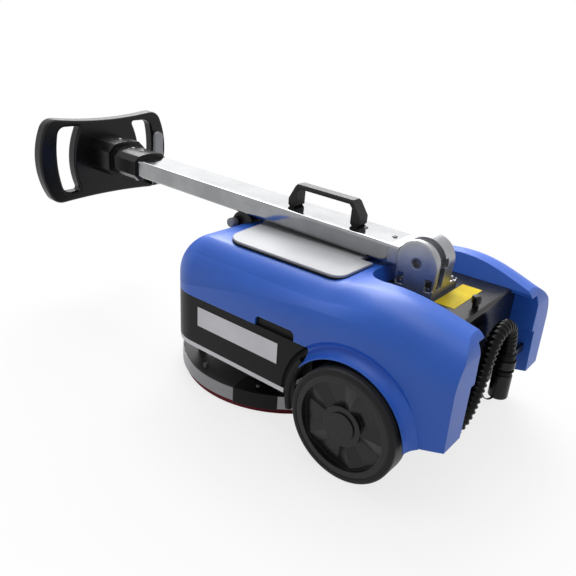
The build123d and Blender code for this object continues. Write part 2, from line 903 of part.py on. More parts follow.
# Lid with its seal, and the tanks under it
with BuildPart() as lid_seal:
    extrude(lid_plan(lid_bottom, seal_proud), amount=seal_thickness)
    extrude(
        lid_opening_plan(lid_bottom, lid_rim_gap + lid_rim_wall),
        amount=seal_thickness,
        mode=Mode.SUBTRACT,
    )
save(lid_seal, "lid_seal")

with BuildPart() as tank_lid:
    extrude(lid_plan(lid_plate_bottom), amount=lid_thickness)
    fillet(tank_lid.faces().sort_by(Axis.Z)[-1].edges(), radius=lid_edge_round)
    rim_bottom = lid_plate_bottom - lid_rim_depth
    extrude(lid_opening_plan(rim_bottom, lid_rim_gap + lid_rim_wall), amount=lid_rim_depth)
    extrude(
        lid_opening_plan(rim_bottom, lid_rim_gap + 2 * lid_rim_wall),
        amount=lid_rim_depth,
        mode=Mode.SUBTRACT,
    )
save(tank_lid, "tank_lid")

ceiling = shell_top - shell_wall
with BuildPart() as recovery_tank:
    tank_half = lid_opening_half_width + tank_wall
    tank_back = lid_back + lid_opening_back_inset - tank_wall
    tank_front = lid_front - lid_opening_inset + tank_wall
    with BuildSketch(Plane.XY.offset(tank_bottom)):
        with Locations((0, (tank_back + tank_front) / 2)):
            RectangleRounded(2 * tank_half, tank_front - tank_back, lid_opening_corner + tank_wall)
    extrude(amount=ceiling - tank_bottom)
    extrude(lid_opening_plan(tank_bottom + tank_wall), amount=ceiling, mode=Mode.SUBTRACT)
save(recovery_tank, "recovery_tank")

with BuildPart() as solution_tank:
    add(upper_hull(shell_wall + seat_gap, solution_tank_back, parting_height))
    split(bisect_by=Plane.XY.offset(solution_tank_floor), keep=Keep.TOP)
save(solution_tank, "solution_tank")

# Rear cover: the deck behind the lid and the wall that closes the body under it
with BuildPart() as rear_cover:
    cover_half = bay_half_width - seat_gap
    extrude(bay_plan(cover_underside, cover_back, -seat_gap), amount=cover_thickness)
    with BuildSketch(across(cover_back)):
        with BuildLine():
            foot = bay_low_half(plate_top) - seat_gap
            step = bay_low_half(bay_step_height) - seat_gap
            Polyline(
                (-foot, plate_top),
                (foot, plate_top),
                (step, bay_step_height - seat_gap),
                (-step, bay_step_height - seat_gap),
                close=True,
            )
        make_face()
        with Locations((0, plate_top)):
            under_half = bay_under_half_width - seat_gap
            under_height = cover_underside - seat_gap - plate_top
            Rectangle(2 * under_half, under_height, align=(Align.CENTER, Align.MIN))
            Rectangle(2 * cover_half, deck_surface - plate_top, align=(Align.CENTER, Align.MIN))
    extrude(amount=-cover_thickness)
    with BuildSketch(Plane.YZ):
        with BuildLine():
            low = (cover_back, deck_surface - cover_roll)
            high = (cover_back + cover_roll, deck_surface)
            RadiusArc(low, high, cover_roll)
            Polyline(
                high,
                (high[0], deck_surface + beyond),
                (cover_back - beyond, deck_surface + beyond),
                (cover_back - beyond, low[1]),
                low,
            )
        make_face()
    extrude(amount=cover_half + beyond, both=True, mode=Mode.SUBTRACT)
    with Locations((knob_x, knob_y, deck_surface)):
        Hole(knob_stem_radius + free_gap, depth=cover_thickness)
save(rear_cover, "rear_cover")

with BuildPart() as mast_pedestal:
    with BuildSketch(Plane.XY.offset(plate_top)):
        with Locations((0, pivot_y)):
            Rectangle(2 * pedestal_half_width, 2 * bracket_half_length)
            inner_size = (
                2 * (pedestal_half_width - pedestal_wall),
                2 * (bracket_half_length - pedestal_wall),
            )
            Rectangle(*inner_size, mode=Mode.SUBTRACT)
    extrude(amount=cover_underside - plate_top)
save(mast_pedestal, "mast_pedestal")

with BuildPart() as label_plate:
    with BuildSketch(Plane.XY.offset(deck_surface)):
        with Locations((0, label_back + label_width / 2)):
            Rectangle(2 * label_half_length, label_width)
    extrude(amount=label_thickness)
save(label_plate, "label_plate")

with BuildPart() as nameplate:
    with BuildSketch(Plane.YZ.offset(-body_half_width)):
        with Locations((nameplate_back, nameplate_bottom)):
            Rectangle(nameplate_length, nameplate_height, align=(Align.MIN, Align.MIN))
    extrude(amount=-nameplate_thickness)
save(nameplate, "nameplate")

# Water valve under the rear cover and the knob that turns it
with BuildPart() as water_valve:
    with BuildSketch(Plane.XY.offset(cover_underside - valve_height)):
        with Locations((knob_x, knob_y)):
            Circle(valve_radius)
    extrude(amount=valve_height)
    with Locations((knob_x, knob_y, cover_underside)):
        Hole(knob_stem_radius + run_gap, depth=knob_stem_depth)
save(water_valve, "water_valve")

with BuildPart() as valve_knob:
    stem_bottom = cover_underside - knob_stem_depth + free_gap
    knob_base = deck_surface + free_gap
    knob_head = knob_base + knob_waist_height
    with BuildSketch(Plane.XY.offset(stem_bottom)):
        with Locations((knob_x, knob_y)):
            Circle(knob_stem_radius)
    extrude(amount=knob_base - stem_bottom)
    with BuildSketch(Plane.XY.offset(knob_base)):
        with Locations((knob_x, knob_y)):
            Circle(knob_waist_radius)
    extrude(amount=knob_waist_height)
    with BuildSketch(Plane.XY.offset(knob_head)):
        with Locations((knob_x, knob_y)):
            Circle(knob_radius)
    extrude(amount=knob_head_height)
    fillet(valve_knob.faces().sort_by(Axis.Z)[-1].edges(), radius=knob_head_height / 3)
save(valve_knob, "valve_knob")

# Mast bracket: a thin and a broad round-topped ear on a base bolted through the rear cover
with BuildPart() as mast_bracket:
    for inner, outer in ((ear_inner, -bracket_half_width), (broad_ear_inner, broad_ear_outer)):
        with BuildSketch(Plane.YZ.offset(inner)):
            with Locations((pivot_y, pivot_z)):
                Circle(ear_radius)
            with BuildLine():
                Polyline(
                    (pivot_y - bracket_half_length, deck_surface),
                    (pivot_y + bracket_half_length, deck_surface),
                    (pivot_y + ear_radius, pivot_z),
                    (pivot_y - ear_radius, pivot_z),
                    close=True,
                )
            make_face()
        extrude(amount=outer - inner)
    for place in (0, -1):
        outer_face = mast_bracket.faces().filter_by(Axis.X).sort_by(Axis.X)[place]
        fillet(outer_face.edges().sort_by(Axis.Z)[1:], radius=ear_round)
    with BuildSketch(Plane.XY.offset(deck_surface)):
        with Locations((0, pivot_y)):
            Rectangle(2 * bracket_half_width, 2 * bracket_half_length)
    extrude(amount=bracket_base)
    with BuildSketch(Plane.XY.offset(pivot_z - ear_notch_drop)):
        with Locations((broad_ear_inner, pivot_y - ear_radius)):
            Rectangle(*ear_notch[:2], align=(Align.MIN, Align.MIN))
    extrude(amount=ear_notch[2], mode=Mode.SUBTRACT)
    with BuildSketch(Plane.YZ):
        with Locations((pivot_y, pivot_z)):
            Circle(pivot_radius)
    extrude(amount=bracket_half_width, both=True, mode=Mode.SUBTRACT)
    with BuildSketch(Plane.XY.offset(bracket_floor - bracket_bolt_height / 2)):
        with Locations((0, pivot_y)):
            with GridLocations(2 * bracket_bolt_x, 2 * bracket_bolt_y, 2, 2):
                Circle(bracket_pocket_radius)
    extrude(amount=bracket_pocket_height, mode=Mode.SUBTRACT)
save(mast_bracket, "mast_bracket")

with BuildPart() as bracket_bolts:
    with BuildSketch(Plane.XY.offset(bracket_floor - bracket_bolt_height / 2)):
        with Locations((0, pivot_y)):
            with GridLocations(2 * bracket_bolt_x, 2 * bracket_bolt_y, 2, 2):
                Circle(bracket_bolt_radius)
    extrude(amount=bracket_bolt_height)
save(bracket_bolts, "bracket_bolts")

with BuildPart() as pivot_bolt:
    bolt_ends = (pivot_end_inset - bracket_half_width, broad_ear_outer - pivot_end_inset)
    with BuildSketch(Plane.YZ.offset(bolt_ends[0])):
        with Locations((pivot_y, pivot_z)):
            Circle(pivot_radius)
    extrude(amount=bolt_ends[1] - bolt_ends[0])
    for bolt_end, inwards in zip(bolt_ends, (1, -1)):
        with BuildSketch(Plane.YZ.offset(bolt_end)):
            with Locations((pivot_y, pivot_z)):
                RegularPolygon(pivot_socket_size, 6)
        extrude(amount=inwards * pivot_socket_depth, mode=Mode.SUBTRACT)
save(pivot_bolt, "pivot_bolt")

# Knuckle on the mast's foot: a disc and a narrower tongue, a collar and a plug inside the tube
with BuildPart() as mast_knuckle:
    for begin, width, radius in (
        (disc_start, disc_thickness, disc_radius),
        (tongue_start, tongue_width, tongue_radius),
    ):
        with BuildSketch(Plane.YZ.offset(begin)):
            with Locations((pivot_y, pivot_z)):
                Circle(radius)
        extrude(amount=width)
    with BuildSketch(Plane.YZ.offset(disc_start)):
        with Locations((pivot_y, mast_middle)):
            web_size = (collar_start - pivot_y + beyond, mast_top - mast_bottom - 2 * web_inset)
            Rectangle(*web_size, align=(Align.MIN, Align.CENTER))
    extrude(amount=tongue_end - disc_start)
    extrude(mast_section(mast_start), amount=mast_start - collar_start)
    extrude(
        mast_section(mast_start + plug_length, mast_wall + plug_gap), amount=plug_length
    )
    with BuildSketch(Plane.YZ):
        with Locations((pivot_y, pivot_z)):
            Circle(pivot_radius + run_gap)
    extrude(amount=bracket_half_width, both=True, mode=Mode.SUBTRACT)
save(mast_knuckle, "mast_knuckle", mast_lean)

with BuildPart() as mast_tube:
    extrude(mast_section(mast_end), amount=mast_end - mast_start)
    extrude(mast_section(mast_end, mast_wall), amount=mast_end - mast_start, mode=Mode.SUBTRACT)
save(mast_tube, "mast_tube", mast_lean)

with BuildPart() as mast_screws:
    for row, height in (
        *((row, mast_top) for row in mast_screw_rows),
        *((row, mast_middle + neck_small[1] + neck_crown) for row in neck_small_screw_rows),
        *((row, mast_middle + neck_large[1] + neck_crown) for row in neck_large_screw_rows),
    ):
        with BuildSketch(Plane.XY.offset(height)):
            with Locations((0, row)):
                Circle(screw_head_radius)
        extrude(amount=screw_head_height)
save(mast_screws, "mast_screws", mast_lean)

with BuildPart() as carry_handle:
    handle_top = mast_top + handle_rise
    under_bar = handle_top - handle_bar
    (back_run, back_drop), (front_run, front_drop) = handle_shoulders
    gap_back, gap_front = handle_gap
    with BuildSketch(Plane.YZ):
        with BuildLine():
            Polyline(
                (handle_back + handle_foot, mast_top),
                (handle_back, mast_top + handle_foot),
                (handle_back, handle_top - back_drop),
                (handle_back + back_run, handle_top),
                (handle_front - front_run, handle_top),
                (handle_front, handle_top - front_drop),
                (handle_front, mast_top + handle_foot),
                (handle_front - handle_foot, mast_top),
                (gap_front + handle_foot, mast_top),
                (gap_front, mast_top + handle_foot),
                (gap_front, under_bar - handle_gap_corner),
                (gap_front - handle_gap_corner, under_bar),
                (gap_back + handle_gap_corner, under_bar),
                (gap_back, under_bar - handle_gap_corner),
                (gap_back, mast_top + handle_foot),
                (gap_back - handle_foot, mast_top),
                close=True,
            )
        make_face()
    extrude(amount=handle_half_width, both=True)
    side_edges = carry_handle.faces().filter_by(Axis.X).edges()
    chamfer(
        side_edges.filter_by(lambda edge: edge.center().Z > handle_top - beyond),
        length=handle_chamfer,
    )
save(carry_handle, "carry_handle", mast_lean)

# Neck: two eight-sided steps between the mast and the head
with BuildPart() as neck_sleeve:
    extrude(neck_section(neck_step, neck_small), amount=neck_step - neck_start)
    extrude(neck_section(head_back, neck_large), amount=head_back - neck_step)
    extrude(mast_section(mast_end), amount=mast_socket, mode=Mode.SUBTRACT)
save(neck_sleeve, "neck_sleeve", mast_lean)

# Head: a waisted plate with a grip loop at each side
with BuildPart() as handle_head:
    with BuildSketch(across(head_back)) as outline:
        with BuildLine():
            top_right = on_head(head_top_corner)
            bottom_right = on_head(head_bottom_corner)
            side_right = on_head(head_side)
            top_left, bottom_left, side_left = (
                (-x, z) for x, z in (top_right, bottom_right, side_right)
            )
            ThreePointArc(top_left, on_head((0, head_top_dip)), top_right)
            ThreePointArc(top_right, side_right, bottom_right)
            ThreePointArc(bottom_right, on_head((0, head_bottom_dip)), bottom_left)
            ThreePointArc(bottom_left, side_left, top_left)
        make_face()
        fillet(outline.vertices(), radius=head_corner)
    extrude(amount=-head_thickness)
    with BuildSketch(across(head_back)) as slot:
        with BuildLine():
            inner = ThreePointArc(*map(on_head, slot_inner))
            outer = ThreePointArc(*map(on_head, slot_outer))
            Line(inner @ 0, outer @ 0)
            Line(inner @ 1, outer @ 1)
        make_face()
        fillet(slot.vertices().sort_by(Axis.X)[2:], radius=slot_outer_corner)
        fillet(slot.vertices().sort_by(Axis.X)[:2], radius=slot_inner_corner)
        mirror(about=Plane.YZ)
    extrude(amount=-head_thickness, mode=Mode.SUBTRACT)
    fillet(handle_head.faces().filter_by(Axis.Y).edges(), radius=head_round)
    with BuildSketch(across(head_front)):
        with Locations((-key_x, key_z), (key_x, key_z)):
            Circle(key_radius + free_gap)
    extrude(amount=key_travel + beyond, mode=Mode.SUBTRACT)
    for side in (-1, 1):
        lug_start = lever_x + side * (lever_half_width + free_gap)
        with BuildSketch(Plane.YZ.offset(lug_start)):
            with Locations(lever_pivot):
                Circle(lever_eye_radius)
                Rectangle(
                    head_back + head_round - lever_pivot[0],
                    2 * lever_eye_radius,
                    align=(Align.MIN, Align.CENTER),
                )
                Circle(lever_pin_radius + run_gap, mode=Mode.SUBTRACT)
        extrude(amount=side * lever_lug)
save(handle_head, "handle_head", mast_lean)

with BuildPart() as control_panel:
    with BuildSketch(across(head_front)):
        with Locations(on_head((0, (panel_bottom + panel_top) / 2))):
            RectangleRounded(2 * panel_half_width, panel_top - panel_bottom, panel_corner)
        with Locations((-key_x, key_z), (key_x, key_z)):
            Circle(key_radius + free_gap, mode=Mode.SUBTRACT)
    extrude(amount=-panel_thickness)
save(control_panel, "control_panel", mast_lean)

for name, x in (("key_water", -key_x), ("key_power", key_x)):
    with BuildPart() as key:
        with BuildSketch(across(head_front)):
            with Locations((x, key_z)):
                Circle(key_radius)
        extrude(amount=-(panel_thickness + key_height))
        fillet(key.faces().sort_by(Axis.Y)[-1].edges(), radius=key_height / 3)
    save(key, name, mast_lean)

with BuildPart() as drive_lever:
    with BuildSketch(across(lever_pivot[0] + lever_thickness / 2)):
        with Locations((lever_x, lever_pivot[1])):
            height = lever_top - lever_foot - lever_half_width
            Rectangle(2 * lever_half_width, height, align=(Align.CENTER, Align.MIN))
        with Locations(on_head((lever_x, lever_top - lever_half_width))):
            Circle(lever_half_width)
    extrude(amount=lever_thickness)
    with BuildSketch(Plane.YZ.offset(lever_x)):
        with Locations(lever_pivot):
            Circle(lever_eye_radius)
    extrude(amount=lever_half_width, both=True)
    with BuildSketch(Plane.YZ.offset(lever_x)):
        with Locations(lever_pivot):
            Circle(lever_pin_radius)
    extrude(amount=lever_half_width + free_gap + lever_lug, both=True)
save(drive_lever, "drive_lever", mast_lean)

# Rest for the folded mast: a round block seated on the shell's front roll, and its clamp knob
with BuildPart() as mast_rest:
    with BuildSketch(Plane.YZ):
        with Locations((rest_y, rest_z)):
            Circle(rest_radius)
    extrude(amount=rest_half_width, both=True)
    add(upper_hull(0, cavity_back, parting_height), mode=Mode.SUBTRACT)
    with BuildSketch(Plane.YZ.offset(-rest_half_width)):
        with Locations((rest_knob_y, rest_knob_z)):
            Circle(rest_stem_radius + run_gap)
    extrude(amount=rest_stem_depth, mode=Mode.SUBTRACT)
save(mast_rest, "mast_rest")

with BuildPart() as rest_knob:
    knob_start = -rest_half_width - free_gap
    with BuildSketch(Plane.YZ.offset(knob_start)):
        with Locations((rest_knob_y, rest_knob_z)):
            Circle(rest_knob_radius)
    extrude(amount=-rest_knob_length)
    fillet(rest_knob.edges().filter_by(GeomType.CIRCLE), radius=rest_knob_radius / 4)
    with BuildSketch(Plane.YZ.offset(knob_start)):
        with Locations((rest_knob_y, rest_knob_z)):
            Circle(rest_stem_radius)
    extrude(amount=rest_stem_depth)
save(rest_knob, "rest_knob")

# Wheels on stub axles
with BuildPart() as axle_blocks:
    with BuildSketch(across(axle_y - block_half_length)):
        with Locations((block_inner, plate_bottom - block_drop)):
            block_height = axle_z + block_rise + block_drop - plate_bottom
            Rectangle(block_width, block_height, align=(Align.MIN, Align.MIN))
        with Locations((block_inner - block_foot, plate_top)):
            Rectangle(block_foot + block_width, block_foot_height, align=(Align.MIN, Align.MIN))
        mirror(about=Plane.YZ)
    extrude(amount=-2 * block_half_length)
    with BuildSketch(Plane.YZ):
        with Locations((axle_y, axle_z)):
            Circle(axle_radius)
    extrude(amount=well_inner, both=True, mode=Mode.SUBTRACT)
save(axle_blocks, "axle_blocks")

with BuildPart() as stub_axles:
    for side in (-1, 1):
        with BuildSketch(Plane.YZ.offset(side * block_inner)):
            with Locations((axle_y, axle_z)):
                Circle(axle_radius)
        extrude(amount=side * (track_half - axle_inset - block_inner))
save(stub_axles, "stub_axles")

for side, hand in ((-1, "left"), (1, "right")):
    with BuildPart() as tyre:
        with BuildSketch(axle_plane) as tread:
            with Locations((side * (wheel_inner + track_half) / 2, tyre_inner_radius)):
                Rectangle(tyre_width, tyre_depth, align=(Align.CENTER, Align.MIN))
            fillet(tread.vertices().group_by(Axis.Y)[-1], radius=tyre_round)
        revolve(axis=axle_line)
    save(tyre, f"tyre_{hand}")

    with BuildPart() as rim:
        with BuildSketch(axle_plane):
            with Locations((side * (rim_inner + rim_face) / 2, rim_ring_radius)):
                Rectangle(
                    rim_face - rim_inner,
                    tyre_inner_radius - rim_ring_radius,
                    align=(Align.CENTER, Align.MIN),
                )
            with Locations((side * (web_face - rim_web_thickness / 2), bearing_radius)):
                web_depth = rim_ring_radius - bearing_radius
                Rectangle(rim_web_thickness, web_depth, align=(Align.CENTER, Align.MIN))
            with Locations((side * (rim_inner + hub_face) / 2, bearing_radius)):
                Rectangle(
                    hub_face - rim_inner, hub_radius - bearing_radius, align=(Align.CENTER, Align.MIN)
                )
        revolve(axis=axle_line)
        for spoke in range(spoke_count):
            angle = 2 * math.pi * (spoke + 0.5) / spoke_count
            outward = Vector(0, math.cos(angle), math.sin(angle))
            centre = Vector(side * web_face, axle_y, axle_z)
            for reach, size in (
                (hub_radius - 2 * beyond, spoke_hub_size),
                (rim_ring_radius + beyond, spoke_ring_size),
            ):
                plane = Plane(centre + outward * reach, x_dir=(side, 0, 0), z_dir=outward)
                with BuildSketch(plane):
                    with BuildLine():
                        half = size[0] / 2
                        Polyline((0, -half), (0, half), (size[1], 0), close=True)
                    make_face()
            loft()
    save(rim, f"rim_{hand}")

    with BuildPart() as hub_cap:
        with BuildSketch(Plane.YZ.offset(side * hub_face)):
            with Locations((axle_y, axle_z)):
                Circle(hub_cap_radius)
        extrude(amount=side * hub_cap_height)
        fillet(hub_cap.edges().filter_by(GeomType.CIRCLE), radius=hub_cap_height / 3)
    save(hub_cap, f"hub_cap_{hand}")

    with BuildPart() as bearings:
        for start in (rim_inner, hub_face - bearing_width):
            with BuildSketch(Plane.YZ.offset(side * start)):
                with Locations((axle_y, axle_z)):
                    Circle(bearing_radius)
                    Circle(axle_radius + run_gap, mode=Mode.SUBTRACT)
            extrude(amount=side * bearing_width)
    save(bearings, f"bearings_{hand}")

# Squeegee on two arms that hinge under the chassis plate
first_angle = 270 - squeegee_half_angle
last_angle = 270 + squeegee_half_angle
with BuildPart() as squeegee_body:
    channel = ring_sector(
        Plane.XY.offset(squeegee_bottom),
        (0, 0),
        squeegee_radius - squeegee_half_width,
        squeegee_radius + squeegee_half_width,
        first_angle,
        last_angle,
    )
    extrude(channel, amount=squeegee_top - squeegee_bottom)
    with BuildSketch(Plane.XY.offset(squeegee_top)):
        with Locations((0, -squeegee_radius)):
            Circle(port_radius)
    extrude(amount=port_height)
    with BuildSketch(Plane.XY.offset(squeegee_bottom)):
        with Locations((0, -squeegee_radius)):
            Circle(port_radius - port_wall)
    extrude(amount=squeegee_top + port_height - squeegee_bottom, mode=Mode.SUBTRACT)
save(squeegee_body, "squeegee_body")

with BuildPart() as squeegee_blades:
    for shift in (-blade_offset, blade_offset):
        middle_radius = squeegee_radius + shift
        blade = ring_sector(
            Plane.XY.offset(blade_lift),
            (0, 0),
            middle_radius - blade_thickness / 2,
            middle_radius + blade_thickness / 2,
            first_angle,
            last_angle,
        )
        extrude(blade, amount=squeegee_bottom - blade_lift)
save(squeegee_blades, "squeegee_blades")

with BuildPart() as squeegee_arms:
    for side in (-1, 1):
        arm_start = side * arm_x - arm_width / 2
        with BuildSketch(Plane.YZ.offset(arm_start)):
            with Locations((hinge_y, squeegee_top)):
                Rectangle(-hinge_y - arm_reach, arm_thickness, align=(Align.MIN, Align.MIN))
            with Locations((hinge_y, hinge_z)):
                Circle(hinge_eye_radius)
                Rectangle(
                    hinge_eye_radius, hinge_z - squeegee_top, align=(Align.MIN, Align.MAX)
                )
                Circle(hinge_pin_radius + run_gap, mode=Mode.SUBTRACT)
        extrude(amount=arm_width)
save(squeegee_arms, "squeegee_arms")

with BuildPart() as squeegee_hanger:
    base_bottom = plate_bottom - hanger_base
    with BuildSketch(Plane.XY.offset(base_bottom)):
        with Locations((0, hinge_y)):
            Rectangle(2 * hanger_half_width, 2 * hinge_eye_radius)
    extrude(amount=hanger_base)
    for x in (-arm_x, arm_x):
        for side in (-1, 1):
            lug_start = x + side * (arm_width / 2 + free_gap)
            with BuildSketch(Plane.YZ.offset(lug_start)):
                with Locations((hinge_y, hinge_z)):
                    lug_size = (2 * hinge_pin_radius + 8, base_bottom - hinge_z)
                    Rectangle(*lug_size, align=(Align.CENTER, Align.MIN))
                    Circle(lug_size[0] / 2)
                    Circle(hinge_pin_radius, mode=Mode.SUBTRACT)
            extrude(amount=side * hanger_lug)
save(squeegee_hanger, "squeegee_hanger")

with BuildPart() as squeegee_pin:
    with BuildSketch(Plane.YZ):
        with Locations((hinge_y, hinge_z)):
            Circle(hinge_pin_radius)
    extrude(amount=hanger_half_width, both=True)
save(squeegee_pin, "squeegee_pin")

# Drain hose: outlet under the chassis, ribbed hose, cuff, screw cap and the clip that holds it
route = [Vector(*point) for point in hose_route]
radii = []
for before, corner, after in zip(route, route[1:], route[2:]):
    turn = math.radians((corner - before).get_angle(after - corner))
    shorter = min((corner - before).length, (after - corner).length)
    radii.append(0.45 * shorter / math.tan(turn / 2))
with BuildLine() as hose_line:
    FilletPolyline(*route, radius=radii)
hose_path = hose_line.wires()[0]
print("hose length", round(hose_path.length, 1), "bend radii", [round(radius) for radius in radii])

start_point = route[0]
end_point = route[-1]
with BuildPart() as drain_outlet:
    with BuildSketch(across(start_point.Y)):
        with Locations((start_point.X, start_point.Z)):
            Circle(outlet_radius)
            Circle(hose_bore_radius, mode=Mode.SUBTRACT)
    extrude(amount=-outlet_length)
    with BuildSketch(Plane.XY.offset(start_point.Z)):
        with Locations((start_point.X, start_point.Y + outlet_length)):
            Rectangle(2 * outlet_radius, outlet_radius, align=(Align.CENTER, Align.MIN))
    extrude(amount=plate_bottom - start_point.Z)
save(drain_outlet, "drain_outlet")

rib_count = round(hose_path.length / rib_pitch)
rib_length = hose_path.length / rib_count
steady = Vector(1, 1, 1)  # keeps the sections from twisting about the route


def hose_section(distance, radius):
    point = hose_path.position_at(distance, PositionMode.LENGTH)
    along = hose_path.tangent_at(distance, PositionMode.LENGTH)
    sideways = steady - along * steady.dot(along)
    with BuildSketch(Plane(point, x_dir=sideways, z_dir=along)) as section:
        Circle(radius)
    return section.sketch


with BuildPart() as drain_hose:
    for rib in range(rib_count):
        profile = (
            (0, hose_root_radius),
            (rib_crest_start, hose_crest_radius),
            (rib_crest_end, hose_crest_radius),
            (rib_root_start, hose_root_radius),
            (1, hose_root_radius),
        )
        circles = [hose_section((rib + share) * rib_length, radius) for share, radius in profile]
        loft(circles, ruled=True, clean=False)
    sweep(hose_section(0, hose_bore_radius), path=hose_path, mode=Mode.SUBTRACT, clean=False)
save(drain_hose, "drain_hose")

rows = [hose_path.position_at(i / 200) for i in range(201)]
apart = [
    (first - second).length
    for i, first in enumerate(rows)
    for second in rows[i + 30:]
]
print("hose least gap to itself", round(min(apart) - 2 * hose_crest_radius, 1))
plain = math.pi * (hose_root_radius**2 - hose_bore_radius**2) * hose_path.length
full = math.pi * (hose_crest_radius**2 - hose_bore_radius**2) * hose_path.length
print("hose volume", round(drain_hose.part.volume), "between", round(plain), "and", round(full))

cuff_bottom = end_point.Z - cuff_length
with BuildPart() as hose_cuff:
    with BuildSketch(Plane.XY.offset(cuff_bottom)):
        with Locations((end_point.X, end_point.Y)):
            Circle(cuff_radius)
            Circle(hose_bore_radius, mode=Mode.SUBTRACT)
    extrude(amount=cuff_length)
save(hose_cuff, "hose_cuff")

cap_top = cuff_bottom - free_gap
with BuildPart() as drain_cap:
    with BuildSketch(Plane.XY.offset(cap_top)):
        with Locations((end_point.X, end_point.Y)):
            Circle(cap_radius)
    extrude(amount=-cap_length)
    fillet(drain_cap.edges().filter_by(GeomType.CIRCLE), radius=cap_round)
    with BuildSketch(Plane.XY.offset(cap_top)):
        with Locations((end_point.X, end_point.Y)):
            Circle(hose_bore_radius - run_gap)
    extrude(amount=cap_spigot)
save(drain_cap, "drain_cap")

with BuildPart() as hose_clip:
    with BuildSketch(Plane.XY.offset(end_point.Z - clip_drop - clip_height)):
        with Locations((end_point.X, end_point.Y)):
            Circle(cuff_radius + clip_thickness)
            reach = bay_low_half(end_point.Z - clip_drop) - end_point.X
            Rectangle(reach, clip_arm, align=(Align.MIN, Align.CENTER))
            Circle(cuff_radius, mode=Mode.SUBTRACT)
    extrude(amount=clip_height)
save(hose_clip, "hose_clip")
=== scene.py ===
import json
import math

import bmesh
import bpy
from mathutils import Matrix, Vector


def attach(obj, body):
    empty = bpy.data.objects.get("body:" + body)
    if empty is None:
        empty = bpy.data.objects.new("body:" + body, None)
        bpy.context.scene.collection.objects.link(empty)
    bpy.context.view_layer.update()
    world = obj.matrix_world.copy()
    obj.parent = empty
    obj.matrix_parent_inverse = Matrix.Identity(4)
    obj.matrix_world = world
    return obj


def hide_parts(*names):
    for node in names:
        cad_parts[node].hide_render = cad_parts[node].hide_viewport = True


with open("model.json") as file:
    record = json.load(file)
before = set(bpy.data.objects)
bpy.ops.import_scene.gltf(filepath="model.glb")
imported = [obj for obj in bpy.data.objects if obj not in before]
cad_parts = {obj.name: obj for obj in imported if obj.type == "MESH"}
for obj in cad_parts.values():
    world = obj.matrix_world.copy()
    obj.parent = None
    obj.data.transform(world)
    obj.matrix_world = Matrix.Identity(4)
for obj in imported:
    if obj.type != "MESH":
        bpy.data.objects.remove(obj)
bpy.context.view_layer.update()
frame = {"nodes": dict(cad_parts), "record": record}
nodes = frame["nodes"]
slotOf = {part["node"]: part["material_slot"] for part in frame["record"]["subparts"]}
print("frame loaded:", len(nodes), "nodes")


# camera fitted to the photograph
cameraSet = {
    "place": (-0.936, -0.7435, 0.6905),
    "azimuth": -51.57,  # degrees round from behind the machine
    "elevation": 23.54,
    "roll": 3.75,
    "lens": 38.47,
    "sensor": 36.0,
}


def addCamera():
    around = math.radians(cameraSet["azimuth"])
    above = math.radians(cameraSet["elevation"])
    back = Vector((
        math.sin(around) * math.cos(above),
        -math.cos(around) * math.cos(above),
        math.sin(above),
    ))
    level = Vector((math.cos(around), math.sin(around), 0))
    right = Matrix.Rotation(math.radians(cameraSet["roll"]), 3, back) @ level
    turned = Matrix((right, back.cross(right), back)).transposed()
    data = bpy.data.cameras.new("photoCamera")
    data.lens = cameraSet["lens"]
    data.sensor_width = cameraSet["sensor"]
    camera = bpy.data.objects.new("photoCamera", data)
    camera.matrix_world = Matrix.Translation(cameraSet["place"]) @ turned.to_4x4()
    bpy.context.scene.collection.objects.link(camera)
    bpy.context.scene.camera = camera


addCamera()
bpy.context.scene.view_settings.view_transform = "Standard"
print("camera placed")


# node maths: a wrapped socket takes part in Python expressions
class Sock:
    def __init__(self, graph, link):
        self.graph = graph
        self.link = link

    def __add__(self, other):
        return self.graph.maths("ADD", self, other)

    def __radd__(self, other):
        return self.graph.maths("ADD", other, self)

    def __sub__(self, other):
        return self.graph.maths("SUBTRACT", self, other)

    def __rsub__(self, other):
        return self.graph.maths("SUBTRACT", other, self)

    def __mul__(self, other):
        return self.graph.maths("MULTIPLY", self, other)

    def __rmul__(self, other):
        return self.graph.maths("MULTIPLY", other, self)

    def __truediv__(self, other):
        return self.graph.maths("DIVIDE", self, other)

    def __rtruediv__(self, other):
        return self.graph.maths("DIVIDE", other, self)

    def __mod__(self, other):
        return self.graph.maths("FLOORED_MODULO", self, other)

    def __rmod__(self, other):
        return self.graph.maths("FLOORED_MODULO", other, self)


class NodeTree:
    def node(self, kind, settings=None, sockets=None, output=0):
        made = self.tree.nodes.new(kind)
        for key, value in (settings or {}).items():
            setattr(made, key, value)
        for key, value in (sockets or {}).items():
            self.feed(made.inputs[key], value)
        return Sock(self, made.outputs[output])

    def feed(self, socket, value):
        if isinstance(value, Sock):
            self.tree.links.new(value.link, socket)
        elif socket.type == "RGBA" and len(value) == 3:
            socket.default_value = (*value, 1)
        else:
            socket.default_value = value

    def maths(self, operation, *values):
        return self.node("ShaderNodeMath", {"operation": operation}, dict(enumerate(values)))

    def axis(self, vector, index):
        return self.node("ShaderNodeSeparateXYZ", {}, {0: vector}, index)

    def reach(self, vector):  # distance from the origin
        return self.node("ShaderNodeVectorMath", {"operation": "LENGTH"}, {0: vector}, "Value")

    def noise(self, spot, scale, detail, rough):
        sockets = {"Vector": spot, "Scale": scale, "Detail": detail, "Roughness": rough}
        return self.node("ShaderNodeTexNoise", {}, sockets)

    def band(self, value, low, high, start=0.0, end=1.0, kind="LINEAR"):
        limits = {"From Min": low, "From Max": high, "To Min": start, "To Max": end}
        sockets = {"Value": value, **limits}
        return self.node("ShaderNodeMapRange", {"interpolation_type": kind}, sockets)


# edges: how finely they are rounded, and how much of a turn shows as wear
edgeSet = {"samples": 6, "band": (0.015, 0.2)}


